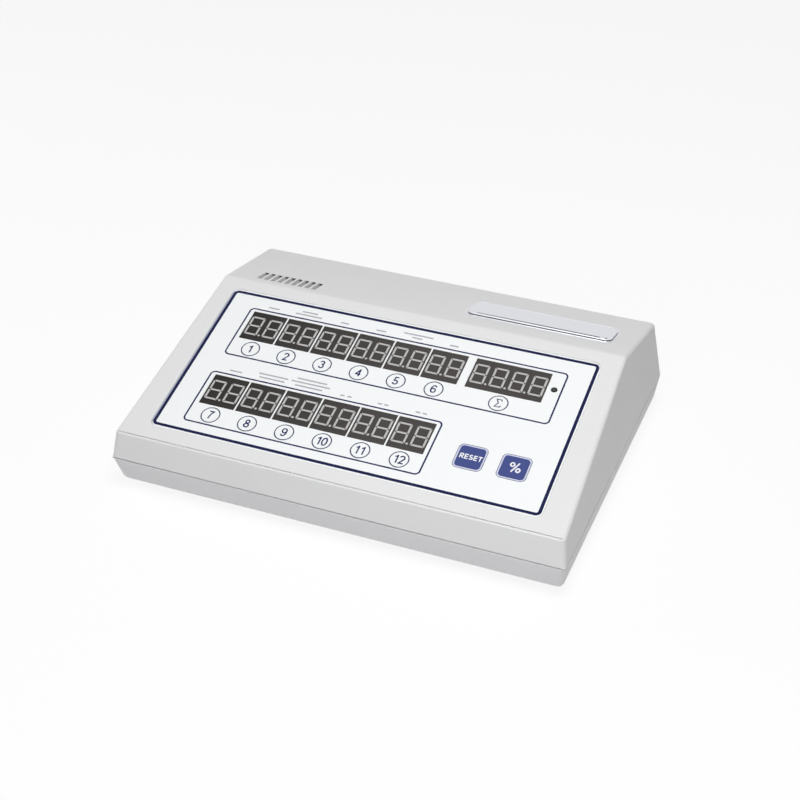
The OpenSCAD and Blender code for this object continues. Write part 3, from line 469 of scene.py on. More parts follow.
def finish(obj, material, body=CASE_BODY, nodes=()):
    """Gives a piece its material and its body, and hides the nodes that it stands for."""
    obj.data.materials.clear()
    obj.data.materials.append(material)
    for polygon in obj.data.polygons:
        polygon.material_index = 0
    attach(obj, body)
    if nodes:
        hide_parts(*nodes)
    return obj


def quarter(steps):
    """1 - cosine and 1 - sine at even steps through a quarter turn."""
    turns = [step / steps * pi / 2 for step in range(steps + 1)]
    return [(1 - cos(turn), 1 - sin(turn)) for turn in turns]


def rounded_rect(width, height, radius, steps=8, middle=(0, 0)):
    """Outline of a rectangle with round corners, counterclockwise."""
    points = []
    for corner, (sx, sy) in enumerate([(1, 1), (-1, 1), (-1, -1), (1, -1)]):
        x = middle[0] + sx * (width / 2 - radius)
        y = middle[1] + sy * (height / 2 - radius)
        turns = [(corner + step / steps) * pi / 2 for step in range(steps + 1)]
        points += [(x + radius * cos(turn), y + radius * sin(turn)) for turn in turns]
    return points


def circle(radius, middle=(0, 0), sides=64):
    turns = [2 * pi * i / sides for i in range(sides)]
    return [(middle[0] + radius * cos(turn), middle[1] + radius * sin(turn)) for turn in turns]


def rect_shape(width, height, radius, middle=(0, 0), steps=8):
    """A rectangle's outline as a function of how much it has grown."""
    return lambda grow: rounded_rect(width + 2 * grow, height + 2 * grow, radius + grow, steps,
                                     middle)


def round_shape(radius, middle, sides=64):
    return lambda grow: circle(radius + grow, middle, sides)


def stack(name, layers):
    """A closed solid through layers of [outline, z], all with as many points."""
    count = len(layers[0][0])
    points = [(x, y, z) for outline, z in layers for x, y in outline]
    faces = [tuple(reversed(range(count)))]
    for base in range(0, (len(layers) - 1) * count, count):
        for i in range(count):
            j = (i + 1) % count
            faces.append((base + i, base + j, base + count + j, base + count + i))
    faces.append(tuple(range((len(layers) - 1) * count, len(layers) * count)))
    return build(name, points, faces)


def prism(name, outline, bottom, top):
    return stack(name, [[outline, bottom], [outline, top]])


def rods(name, places, radius, bottom, top):
    """Upright rods at places, as one object."""
    return join(name, [prism(name, circle(radius, spot, 48), bottom, top) for spot in places])


def lipped(name, shape, bottom, lip, steps=4):
    """A cutter from bottom up past level 0, whose mouth flares round by lip."""
    flare = [[shape(lip * c), -lip * s] for c, s in quarter(steps)]
    return stack(name, [[shape(0), bottom], *flare, [shape(lip), OVER]])


def rounded_slab(name, shape, bottom, top, edge):
    """A slab whose top rim is rounded by edge."""
    rim = [[shape(-edge * c), top - edge * s] for c, s in quarter(4)]
    return stack(name, [[shape(0), bottom], *rim])


def strip(name, left, right, low, high, looped=True):
    """A thin closed solid between two lines of points, which may run in a loop."""
    count = len(left)
    points = [(x, y, z) for z in (low, high) for x, y in [*left, *right]]
    up = 2 * count
    faces = []
    for i in range(count if looped else count - 1):
        j = (i + 1) % count
        a, b, c, d = i, j, j + count, i + count
        faces += [(d, c, b, a), (a + up, b + up, c + up, d + up),
                  (a, b, b + up, a + up), (c, d, d + up, c + up)]
    if not looped:
        faces += [(i, i + count, i + count + up, i + up) for i in (0, count - 1)]
    return build(name, points, faces)


def printed_line(name, width, height, radius, line, top, middle=(0, 0)):
    """A closed printed line of that thickness, its middle on a rounded rectangle."""
    outer = rounded_rect(width + line, height + line, radius + line / 2, 10, middle)
    inner_radius = max(radius - line / 2, 0.1 * MM)
    inner = rounded_rect(width - line, height - line, inner_radius, 10, middle)
    return strip(name, outer, inner, -UNDER, top)


# ---- Leaning shells ----


def meet(first, second):
    """The point where two walls cross, each being (angle of its outward normal, distance)."""
    (a, p), (b, q) = first, second
    scale = sin(b - a)
    return Vector(((p * sin(b) - q * sin(a)) / scale, (q * cos(a) - p * cos(b)) / scale))


def upper_walls(floor):
    case = chosen("case")
    ridge = deck_point(case.deck_length)
    walls = [(case.rear_draft, case.depth * cos(case.rear_draft))]
    for lean in (pi / 2 - case.band_tilt, pi / 2 + case.deck_tilt):
        walls.append((lean, cos(lean) * ridge[0] + sin(lean) * ridge[1]))
    return walls + [(pi - case.front_draft, 0), (3 * pi / 2, floor)]


def lower_walls(top):
    case = chosen("case")
    return [(pi / 2, top), (pi + case.chin_draft, 0), (3 * pi / 2, case.lower_height),
            (2 * pi - case.rear_draft, case.depth * cos(case.rear_draft))]


def wall_solid(name, walls, draft, inset=0.0):
    """A sharp solid between walls seen from the side, and two leaning side walls."""
    half_width = chosen("case").width / 2 - inset / cos(draft)
    moved_in = [(turn, distance - inset) for turn, distance in walls]
    count = len(moved_in)
    corners = [meet(moved_in[i], moved_in[(i + 1) % count]) for i in range(count)]
    points = [(side * (half_width - corner[1] * tan(draft)), corner[0], corner[1])
              for side in (-1, 1) for corner in corners]
    faces = [tuple(range(count)), tuple(range(2 * count - 1, count - 1, -1))]
    faces += [(i, i + count, (i + 1) % count + count, (i + 1) % count) for i in range(count)]
    return build(name, points, faces)


def round_edges(obj, radius_of):
    """Rounds each edge by the radius that radius_of gives for its two faces' normals."""
    edit = bmesh.new()
    edit.from_mesh(obj.data)
    offsets = []
    for edge in edit.edges:
        normals = [face.normal for face in edge.link_faces]
        offsets.append(radius_of(normals) * tan(normals[0].angle(normals[1]) / 2))
    widest = max(offsets)
    layer = edit.edges.layers.float.new("bevel_weight_edge")
    for edge, offset in zip(edit.edges, offsets):
        edge[layer] = offset / widest
    edit.to_mesh(obj.data)
    edit.free()
    return modify(obj, "BEVEL", limit_method="WEIGHT", offset_type="OFFSET", width=widest,
                  segments=8, use_clamp_overlap=False)


def upper_radius(normals):
    case = chosen("case")
    heights = [normal.z for normal in normals]
    if min(heights) < -0.9:
        return RIM_RADIUS
    if min(heights) > 0.9:
        return case.ridge_radius
    if max(heights) < 0.5:
        return case.corner_radius
    return case.front_radius if min(normal.y for normal in normals) < -0.9 else case.edge_radius


def lower_radius(normals):
    case = chosen("case")
    heights = [normal.z for normal in normals]
    if max(heights) > 0.9:
        return RIM_RADIUS
    return case.corner_radius if min(heights) > -0.5 else case.base_radius


def seam_plan(name, inward, bottom, top):
    case = chosen("case")
    radius = case.corner_radius + OVER - inward
    shape = rounded_rect(case.width - 2 * inward, case.depth - 2 * inward, radius, 8,
                         (0, case.depth / 2))
    return prism(name, shape, bottom, top)


# ---- Places on the deck and in the case ----


def dual_pitch():
    return 2 * chosen("display").pitch


def dual_width():
    return dual_pitch() - DISPLAY_BAR


def dual_middles():
    """Where the two-digit displays of a row have their middles, along x."""
    display = chosen("display")
    first = dual_width() / 2 - display.left
    return [first + i * dual_pitch() for i in range(display.row_count)]


def row_levels():
    display = chosen("display")
    return [display.row_1_up, -display.row_2_down]


def total_window():
    """Width and middle of the total display's window."""
    display = chosen("display")
    width = display.total_digits * display.pitch - DISPLAY_BAR
    return width, (display.total_right + width / 2, display.row_1_up)


def display_board_top():
    return -DISPLAY_HEIGHT - chosen("display").drop


def panel_top():
    panel = chosen("panel")
    return panel.thickness - panel.recess


def count_key_places():
    return [(x, level) for level in KEY_LEVELS for x in dual_middles()]


def spread(half_x, half_y, middle, rows=(-1, 1)):
    """Places left and right of a middle, in rows."""
    return [(middle[0] + x * half_x, middle[1] + y * half_y) for x in (-1, 1) for y in rows]


def case_places(inward):
    """Four places, that far inwards from the case's sides and from its front and back."""
    case = chosen("case")
    half = case.depth / 2
    return spread(case.width / 2 - inward[0], half - inward[1], (0, half))


def board_places(half, middle, rows=(-1, 1)):
    return spread(half[0] - BOARD_BOSS_IN, half[1] - BOARD_BOSS_IN, middle, rows)


# ---- Shader groups and materials ----

COLOUR, FLOAT, VECTOR = "NodeSocketColor", "NodeSocketFloat", "NodeSocketVector"
GREY = ("Color", COLOUR, (0.8, 0.8, 0.8, 1))
SURFACE = (("Color", COLOUR), ("Roughness", FLOAT), ("Normal", VECTOR))
GRAIN_NOISE = (3.0, 0.6)            # detail and roughness
CLOUD_NOISE = (14.0, 4.0, 0.6)      # scale, detail and roughness
MARKS_NOISE = (65.0, 5.0, 0.7)
BRUSH_NOISE = (1.0, 3.0, 0.65)
MARKS_SHARE = 0.16                  # how much handling marks change the roughness
BRUSH_SHADE = 0.12                  # how much brushing changes the brightness
BRUSH_SHARE = 0.25                  # and the roughness
BRUSH_STRENGTH = 0.15
GRAIN_DEPTH = 0.05 * MM
BRUSH_DEPTH = 0.02 * MM


def feed(tree, value, socket):
    """Links value to the socket if it is a socket too, and writes it there if not."""
    if isinstance(value, bpy.types.NodeSocket):
        tree.links.new(value, socket)
    else:
        socket.default_value = value


def add_node(tree, kind, **inputs):
    """A node with those inputs, the spaces in their names written as underscores."""
    node = tree.nodes.new(kind)
    for name, value in inputs.items():
        feed(tree, value, node.inputs[name.replace("_", " ")])
    return node


def calculate(tree, kind, operation, first, second, clamp=False):
    node = tree.nodes.new(kind)
    node.operation = operation
    if clamp:
        node.use_clamp = True
    feed(tree, first, node.inputs[0])
    feed(tree, second, node.inputs[1])
    return node.outputs[0]


def math_node(tree, operation, first, second, clamp=False):
    return calculate(tree, "ShaderNodeMath", operation, first, second, clamp)


def swing(tree, pattern, width, middle, clamp=False):
    """A value that follows a pattern of 0 to 1 round a middle."""
    offset = math_node(tree, "MULTIPLY", math_node(tree, "SUBTRACT", pattern, 0.5), width)
    return math_node(tree, "ADD", middle, offset, clamp)


def object_place(tree):
    return tree.nodes.new("ShaderNodeTexCoord").outputs["Object"]


def noise(tree, vector, scale, detail, roughness):
    node = add_node(tree, "ShaderNodeTexNoise", Vector=vector, Scale=scale, Detail=detail,
                    Roughness=roughness)
    return node.outputs["Fac"]


def brighten(tree, colour, value):
    return add_node(tree, "ShaderNodeHueSaturation", Color=colour, Value=value).outputs[0]


def relief(tree, height, strength, distance):
    node = add_node(tree, "ShaderNodeBump", Strength=strength, Distance=distance, Height=height)
    return node.outputs[0]


def moulded(tree, given):
    """Fine spark-eroded grain, a faint cloudiness and handling marks of a moulded surface."""
    where = object_place(tree)
    grain = noise(tree, where, given["Grain Scale"], *GRAIN_NOISE)
    cloud = noise(tree, where, *CLOUD_NOISE)
    marks = noise(tree, where, *MARKS_NOISE)
    shade = swing(tree, cloud, given["Cloudiness"], 1.0)
    shade = swing(tree, grain, given["Cloudiness"], shade)
    return {"Color": brighten(tree, given["Color"], shade),
            "Roughness": swing(tree, marks, MARKS_SHARE, given["Roughness"], clamp=True),
            "Normal": relief(tree, grain, given["Grain Height"], GRAIN_DEPTH)}


def brushed(tree, given):
    """Fine straight brushing along X of a metal surface."""
    where = calculate(tree, "ShaderNodeVectorMath", "MULTIPLY", object_place(tree),
                      given["Stretch"])
    lines = noise(tree, where, *BRUSH_NOISE)
    return {"Color": brighten(tree, given["Color"], swing(tree, lines, BRUSH_SHADE, 1.0)),
            "Roughness": swing(tree, lines, BRUSH_SHARE, given["Roughness"], clamp=True),
            "Normal": relief(tree, lines, BRUSH_STRENGTH, BRUSH_DEPTH)}


def fading(tree, given):
    """Painted sheen: a colour that grows lighter along X, between two places, in place of reflected
    light.
    """
    along = add_node(tree, "ShaderNodeSeparateXYZ", Vector=object_place(tree)).outputs["X"]
    ramp = add_node(tree, "ShaderNodeMapRange", Value=along, From_Min=given["From"],
                    From_Max=given["To"], To_Min=given["First"], To_Max=given["Last"])
    return {"Color": brighten(tree, given["Color"], ramp.outputs[0])}


# Name: (what fills the group, its inputs, its outputs)
SHADER_GROUPS = {
    "moulded surface": (moulded, (GREY, ("Roughness", FLOAT, 0.5), ("Grain Scale", FLOAT, 2600.0),
                                  ("Grain Height", FLOAT, 0.1), ("Cloudiness", FLOAT, 0.03)),
                        SURFACE),
    "brushed surface": (brushed, (GREY, ("Roughness", FLOAT, 0.35),
                                  ("Stretch", VECTOR, (60.0, 4000.0, 4000.0))), SURFACE),
    "sideways fade": (fading, (GREY, ("From", FLOAT, -0.1), ("To", FLOAT, 0.1),
                               ("First", FLOAT, 0.5), ("Last", FLOAT, 1.0)), SURFACE[:1]),
}


def shader_group(name):
    """The node group of that name, which is made when it is first asked for."""
    found = bpy.data.node_groups.get(name)
    if found:
        return found
    fill, inputs, outputs = SHADER_GROUPS[name]
    tree = bpy.data.node_groups.new(name, "ShaderNodeTree")
    for socket, kind, value in inputs:
        made = tree.interface.new_socket(socket, in_out="INPUT", socket_type=kind)
        made.default_value = value
    for socket, kind in outputs:
        tree.interface.new_socket(socket, in_out="OUTPUT", socket_type=kind)
    given = tree.nodes.new("NodeGroupInput").outputs
    out = tree.nodes.new("NodeGroupOutput").inputs
    for socket, value in fill(tree, given).items():
        tree.links.new(value, out[socket])
    return tree


def add_group(tree, name, colour, values):
    node = tree.nodes.new("ShaderNodeGroup")
    node.node_tree = shader_group(name)
    for socket, value in {"Color": (*colour, 1), **values}.items():
        node.inputs[socket].default_value = value
    return node


def surfaced(name, group, colour, values, **principled):
    """A material of one Principled shader, its colour, roughness and normal from a group."""
    found = bpy.data.materials.get(name)
    if found:
        return found
    material = bpy.data.materials.new(name)
    material.use_nodes = True
    tree = material.node_tree
    shader = tree.nodes["Principled BSDF"]
    surface = add_group(tree, group, colour, values)
    for socket, _ in SURFACE:
        target = "Base Color" if socket == "Color" else socket
        tree.links.new(surface.outputs[socket], shader.inputs[target])
    for socket, value in principled.items():
        shader.inputs[socket.replace("_", " ")].default_value = value
    return material


def fade_sideways(material, colour, **values):
    """Lets a material's colour grow lighter along X, as painted sheen."""
    tree = material.node_tree
    surface = next(node for node in tree.nodes if node.type == "GROUP")
    fade = add_group(tree, "sideways fade", colour, values)
    tree.links.new(fade.outputs["Color"], surface.inputs["Color"])


def plastic(name, colour, roughness=0.5, grain=0.1, scale=2600.0, cloud=0.03, **principled):
    values = {"Roughness": roughness, "Grain Scale": scale, "Grain Height": grain,
              "Cloudiness": cloud}
    return surfaced(name, "moulded surface", colour, values, **principled)


def ink(name, colour):
    """Flat printing ink."""
    return plastic(name, colour, 0.4, 0.02, 1400.0, 0.04, Specular_IOR_Level=0.12)


def metal(name, colour, roughness, stretch=(60.0, 4000.0, 4000.0)):
    values = {"Roughness": roughness, "Stretch": stretch}
    return surfaced(name, "brushed surface", colour, values, Metallic=1.0)


def upper_plastic():
    return plastic("upper shell plastic", chosen("colours").upper, 0.42, 0.09)


def dress(material, *nodes):
    """Gives nodes of the frame their material."""
    for node in nodes:
        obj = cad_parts[node]
        obj.data.materials.clear()
        obj.data.materials.append(material)


# ---- Geometry Nodes ----


def piece_shape(tree, given):
    return add_node(tree, "GeometryNodeObjectInfo", Object=given["Piece"]).outputs["Geometry"]


def ring_shape(tree, given):
    path = add_node(tree, "GeometryNodeCurvePrimitiveCircle", Resolution=RING_SIDES,
                    Radius=given["Radius"])
    section = add_node(tree, "GeometryNodeCurvePrimitiveQuadrilateral", Width=given["Line"],
                       Height=given["Ink"])
    ring = add_node(tree, "GeometryNodeCurveToMesh", Curve=path.outputs["Curve"],
                    Profile_Curve=section.outputs["Curve"])
    return ring.outputs["Mesh"]


# Name: (what makes the shape, the inputs that it takes)
ROWS = {
    "row of pieces": (piece_shape, (("Piece", "NodeSocketObject"),)),
    "row of rings": (ring_shape, (("Radius", FLOAT), ("Line", FLOAT), ("Ink", FLOAT))),
}


def row_tree(name):
    """A tree that puts a shape in a row along X, as real geometry with a material."""
    found = bpy.data.node_groups.get(name)
    if found:
        return found
    shape, inputs = ROWS[name]
    tree = bpy.data.node_groups.new(name, "GeometryNodeTree")
    tree.is_modifier = True
    for socket, kind in (("Geometry", "NodeSocketGeometry"), *inputs, ("Count", "NodeSocketInt"),
                         ("Pitch", FLOAT), ("Material", "NodeSocketMaterial")):
        tree.interface.new_socket(socket, in_out="INPUT", socket_type=kind)
    tree.interface.new_socket("Geometry", in_out="OUTPUT", socket_type="NodeSocketGeometry")
    given = tree.nodes.new("NodeGroupInput").outputs
    offset = add_node(tree, "ShaderNodeCombineXYZ", X=given["Pitch"])
    line = add_node(tree, "GeometryNodeMeshLine", Count=given["Count"], Offset=offset.outputs[0])
    copies = add_node(tree, "GeometryNodeInstanceOnPoints", Points=line.outputs["Mesh"],
                      Instance=shape(tree, given))
    real = add_node(tree, "GeometryNodeRealizeInstances", Geometry=copies.outputs[0])
    paint = add_node(tree, "GeometryNodeSetMaterial", Geometry=real.outputs[0],
                     Material=given["Material"])
    tree.links.new(paint.outputs[0], tree.nodes.new("NodeGroupOutput").inputs[0])
    return tree


def in_a_row(name, kind, **values):
    """A mesh object made by a row's tree with those inputs."""
    tree = row_tree(kind)
    sockets = {item.name: item.identifier for item in tree.interface.items_tree
               if item.in_out == "INPUT"}
    obj = add_object(name, bpy.data.meshes.new(name))
    return face_outwards(modify(obj, "NODES", sockets, node_group=tree, **values))


def row_of(name, piece, count, pitch, material=None):
    obj = in_a_row(name, "row of pieces", Piece=piece, Count=count, Pitch=pitch, Material=material)
    drop(piece)
    return obj


# ---- Lettering: numbers and generic legends, drawn with strokes of one width ----

STROKE_LIFT = 0.001 * MM            # keeps the faces of crossing strokes apart
MITRE_LIMIT = 0.4                   # cosine that keeps the mitre of a sharp corner short


def arc(x, y, rx, ry, start, end, steps=14):
    """Points of an elliptic arc between two angles in degrees."""
    turns = [radians(start + (end - start) * i / steps) for i in range(steps + 1)]
    return [(x + rx * cos(t), y + ry * sin(t)) for t in turns]


def oval(x, y, rx, ry, steps):
    """A closed stroke, marked by None at its end."""
    return arc(x, y, rx, ry, 0, 360, steps)[:-1] + [None]


SIX = [oval(0.29, 0.31, 0.235, 0.265, 28), arc(0.32, 0.5, 0.265, 0.455, 38, 190, 18)]
# Letter: (width, strokes), for a height of 1
GLYPHS = {
    "0": (0.58, [oval(0.29, 0.5, 0.235, 0.455, 32)]),
    "1": (0.58, [[(0.36, 0), (0.36, 1)], [(0.1, 0.755), (0.24, 0.81), (0.4, 0.955)]]),
    "2": (0.58, [arc(0.28, 0.72, 0.225, 0.235, 172, -38, 16) + [(0.085, 0.045), (0.54, 0.045)]]),
    "3": (0.58, [arc(0.27, 0.745, 0.2, 0.21, 165, -95, 18),
                 arc(0.27, 0.29, 0.235, 0.245, 95, -168, 18)]),
    "4": (0.58, [[(0.41, 0), (0.41, 1)], [(0.41, 0.93), (0.06, 0.28), (0.57, 0.28)]]),
    "5": (0.58, [[(0.51, 0.955), (0.17, 0.955), (0.1, 0.5)],
                 arc(0.275, 0.3, 0.245, 0.255, 142, -165, 20)]),
    "6": (0.58, SIX),
    "7": (0.58, [[(0.05, 0.955), (0.52, 0.955), (0.36, 0.66), (0.26, 0.34), (0.225, 0)]]),
    "8": (0.58, [oval(0.29, 0.75, 0.19, 0.205, 26), oval(0.29, 0.275, 0.235, 0.23, 28)]),
    "9": (0.58, [[p and (0.58 - p[0], 1 - p[1]) for p in stroke] for stroke in SIX]),
    "R": (0.78, [[(0.14, 0), (0.14, 1)],
                 [(0.14, 0.92)] + arc(0.42, 0.72, 0.2, 0.2, 90, -90, 12) + [(0.14, 0.52)],
                 [(0.36, 0.5), (0.66, 0)]]),
    "E": (0.72, [[(0.62, 0.92), (0.14, 0.92), (0.14, 0.08), (0.64, 0.08)],
                 [(0.14, 0.51), (0.58, 0.51)]]),
    "S": (0.72, [arc(0.34, 0.715, 0.22, 0.205, 25, 270, 16)
                 + arc(0.34, 0.285, 0.24, 0.215, 90, -158, 16)[1:]]),
    "T": (0.68, [[(0.34, 0), (0.34, 0.92)], [(0.04, 0.92), (0.64, 0.92)]]),
    "%": (1.0, [oval(0.2, 0.75, 0.16, 0.19, 24), oval(0.8, 0.25, 0.16, 0.19, 24),
                [(0.26, -0.02), (0.74, 1.02)]]),
    "Σ": (0.72, [[(0.62, 0.76), (0.59, 0.955), (0.1, 0.955), (0.36, 0.5), (0.1, 0.045),
                  (0.61, 0.045), (0.65, 0.25)]]),
}


def stroke_outline(points, half, looped):
    """Left and right sides of a stroke, mitred at its corners."""
    points = [Vector(point) for point in points]
    count = len(points)
    left, right = [], []
    for i, point in enumerate(points):
        ways = []
        if looped or i > 0:
            ways.append((point - points[i - 1]).normalized())
        if looped or i < count - 1:
            ways.append((points[(i + 1) % count] - point).normalized())
        along = sum(ways, Vector((0, 0))).normalized()
        across = Vector((-along.y, along.x))
        reach = half / max(across.dot(Vector((-ways[0].y, ways[0].x))), MITRE_LIMIT)
        left.append(point + across * reach)
        right.append(point - across * reach)
    return left, right


def stroke_solid(name, points, half, low, high):
    """One stroke as a thin closed solid."""
    looped = points[-1] is None
    sides = stroke_outline(points[:-1] if looped else points, half, looped)
    return strip(name, *sides, low, high, looped)


def lettering(name, text, height, weight, level, middle, tracking, stretch):
    """Text in strokes of that weight, centred on a place and printed on a level."""
    widths = [GLYPHS[letter][0] * height * stretch for letter in text]
    pen = middle[0] - (sum(widths) + tracking * (len(text) - 1)) / 2
    pieces = []
    for letter, width in zip(text, widths):
        whole = None
        for index, stroke in enumerate(GLYPHS[letter][1]):
            points = [p and (pen + p[0] * height * stretch, middle[1] + (p[1] - 0.5) * height)
                      for p in stroke]
            lift = index * STROKE_LIFT
            part = stroke_solid(name, points, weight / 2, level - UNDER - lift, level + INK + lift)
            whole = combine(whole, part, "UNION") if whole else part
        pieces.append(whole)
        pen += width + tracking
    return join(name, pieces)


# ---- Pieces ----


def hollow_out(shell, room, bosses):
    """Takes the room, less the bosses that stand in it, out of a shell."""
    for boss in bosses:
        combine(room, boss)
    return combine(shell, room)


def printed(name, solids, matrix, material):
    """One piece of print on the panel's sheet."""
    return finish(place(join(name, solids), matrix), material)


class COUNTER_OT_upper_housing(bpy.types.Operator):
    """Make the upper housing with its recess, windows, vents and seat"""
    bl_idname = "counter.upper_housing"
    bl_label = "Upper housing"

    def execute(self, context):
        case, panel, plate = chosen("case", "panel", "plate")
        to_case = case_frame().inverted()
        deck = to_case @ deck_frame()
        band = to_case @ band_frame()
        grow = 2 * FIT_GAP
        shell = wall_solid("upper_shell", upper_walls(-case.seam_gap / 2), case.side_draft)
        round_edges(shell, upper_radius)
        room = wall_solid("room", upper_walls(ROOM_PAST), case.side_draft, case.wall)
        spots = board_places(DISPLAY_BOARD_HALF, (0, DISPLAY_BOARD_UP), DISPLAY_BOARD_ROWS)
        spots.append(DISPLAY_BOARD_MIDDLE_BOSS)
        screws = case_places(CASE_SCREW_IN)
        hollow_out(shell, room, [
            place(rods("bosses", spots, BOARD_BOSS_RADIUS, display_board_top(), 0), deck),
            rods("bosses", screws, CASE_BOSS_RADIUS, 0, CASE_BOSS_TOP)])
        combine(shell, seam_plan("tongue room", TONGUE_INSET - FIT_GAP, -OVER, TONGUE_HEIGHT))
        recess = rect_shape(panel.width + grow, panel.height + grow, panel.radius)
        groove = rounded_rect(case.width - 2 * GROOVE_SIDE, GROOVE_WIDTH, GROOVE_WIDTH / 3, 3,
                              (0, GROOVE_IN - panel.at))
        seat = rect_shape(plate.width + grow, plate.depth + grow, plate.radius,
                          (plate.right, plate.back))
        rim = 2 * (BAY_RIM + FIT_GAP)
        window = rounded_rect(case.bay_width + rim, case.bay_height + rim, BAY_CORNER, 3)
        for cutter, matrix in (
                (lipped("recess", recess, -panel.recess, LIP), deck),
                (self.openings(), deck),
                (self.vents(), band),
                (prism("groove", groove, -GROOVE_DEPTH, OVER), deck),
                (lipped("seat", seat, -PLATE_SEAT, LIP), band),
                (prism("bay window", window, -case.wall, case.bay_depth + OVER),
                 to_case @ bay_frame()),
                (rods("threads", screws, THREAD_RADIUS, 0, THREAD_TOP), Matrix())):
            combine(shell, place(cutter, matrix))
        smooth(place(shell, case_frame()))
        finish(shell, upper_plastic(), nodes=["upper_housing"])
        return {"FINISHED"}

    def vents(self):
        """The row of slots, which lean backwards through the wall and grow narrower inwards."""
        case = chosen("case")
        width, long, pitch = case.vent_width, case.vent_length, case.vent_pitch
        deep = case.wall + OVER
        narrow = width - 2 * deep * tan(VENT_DRAFT)
        behind = deep * (tan(VENT_UNDERCUT) - tan(VENT_LEAN))
        mouth = rounded_rect(width, long, width / 8, 3)
        inner = rounded_rect(narrow, long + behind, narrow / 8, 3, (0, behind / 2))
        cutter = stack("vent", [[inner, -deep], [mouth, 0], [mouth, 0.5 * OVER]])
        row = row_of("vents", cutter, case.vent_count, pitch)
        lean = Matrix()
        lean[1][2] = -tan(VENT_LEAN)
        first = -case.vent_left - (case.vent_count - 1) * pitch / 2
        return place(row, moved(first, case.vent_back + long / 2) @ lean)

    def openings(self):
        """Slots for the displays, and bores for the key stems and the indicator light."""
        case, display = chosen("case", "display")
        grow = 2 * FIT_GAP
        row = (display.row_count - 1) * dual_pitch() + dual_width()
        slots = [(row, (row / 2 - display.left, level)) for level in row_levels()]
        bottom = -case.wall - OVER
        cutters = []
        for width, middle in [*slots, total_window()]:
            shape = rounded_rect(width + grow, display.window_height + grow, SLOT_RADIUS, 2,
                                 middle)
            cutters.append(prism("slot", shape, bottom, 0))
        keys = count_key_places() + [SUM_PLACE, RESET_PLACE, PERCENT_PLACE]
        cutters.append(rods("bores", keys, STEM_RADIUS + KEY_GAP, bottom, 0))
        cutters.append(rods("bores", [LED_PLACE], LED_RADIUS + FIT_GAP, bottom, 0))
        return join("openings", cutters)


class COUNTER_OT_lower_housing(bpy.types.Operator):
    """Make the lower housing with its tongue, bosses and screw pockets"""
    bl_idname = "counter.lower_housing"
    bl_label = "Lower housing"

    def execute(self, context):
        case, colours = chosen("case", "colours")
        floor = -case.lower_height
        shell = wall_solid("lower_shell", lower_walls(-case.seam_gap / 2), -case.side_draft)
        round_edges(shell, lower_radius)
        combine(shell, seam_plan("tongue", TONGUE_INSET, -case.wall, TONGUE_HEIGHT), "UNION")
        room = wall_solid("room", lower_walls(ROOM_PAST), -case.side_draft, case.wall)
        screws = case_places(CASE_SCREW_IN)
        half = case.depth / 2
        middle = (MAIN_BOARD_MIDDLE[0], MAIN_BOARD_MIDDLE[1] + half)
        pads = [(x, y + half) for x, y in CORE_SCREWS]
        hollow_out(shell, room, [
            rods("bosses", screws, CASE_BOSS_RADIUS, floor, TONGUE_HEIGHT),
            rods("bosses", board_places(MAIN_BOARD_HALF, middle), BOARD_BOSS_RADIUS, floor,
                 floor + MAIN_BOSS_HEIGHT),
            rods("bosses", pads, BOARD_BOSS_RADIUS, floor, floor + CORE_BOSS_HEIGHT)])
        seat = TONGUE_HEIGHT - POCKET_DOWN
        for name, spots, radius, bottom, top in (
                ("pockets", screws, POCKET_RADIUS, floor - OVER, seat),
                ("screw holes", screws, SCREW_HOLE_RADIUS, seat - OVER, TONGUE_HEIGHT + OVER),
                ("foot holes", case_places(FOOT_IN), FOOT_HOLE_RADIUS, floor - OVER,
                 floor + case.wall + OVER)):
            combine(shell, rods(name, spots, radius, bottom, top))
        smooth(place(shell, case_frame()))
        material = plastic("lower shell plastic", colours.lower, 0.45, 0.09)
        finish(shell, material, nodes=["lower_housing"])
        return {"FINISHED"}


class COUNTER_OT_control_panel(bpy.types.Operator):
    """Make the panel's sheet with its holes"""
    bl_idname = "counter.control_panel"
    bl_label = "Control panel"

    def execute(self, context):
        panel, display, colours = chosen("panel", "display", "colours")
        top = panel_top()
        shape = rect_shape(panel.width, panel.height, panel.radius)
        sheet = rounded_slab("panel_sheet", shape, -panel.recess, top, SHEET_EDGE)
        windows = [(dual_width(), (x, level)) for level in row_levels() for x in dual_middles()]
        cutters = [rect_shape(width, display.window_height, WINDOW_RADIUS, middle, 3)
                   for width, middle in [*windows, total_window()]]
        cutters.append(round_shape(LED_RADIUS + FIT_GAP, LED_PLACE))
        cutters += [round_shape(panel.key_diameter / 2 + KEY_GAP, spot)
                    for spot in [*count_key_places(), SUM_PLACE]]
        side = panel.square_key + 2 * KEY_GAP
        cutters += [rect_shape(side, side, SQUARE_RADIUS + KEY_GAP, spot)
                    for spot in (RESET_PLACE, PERCENT_PLACE)]
        solids = [lipped("hole", cutter, -panel.thickness - OVER, HOLE_LIP, 2)
                  for cutter in cutters]
        combine(sheet, place(join("holes", solids), moved(z=top)))
        smooth(place(sheet, deck_frame()))
        material = plastic("panel sheet polyester", colours.sheet, 0.34, 0.02, 1400.0, 0.012)
        finish(sheet, material, nodes=["control_panel"])
        return {"FINISHED"}


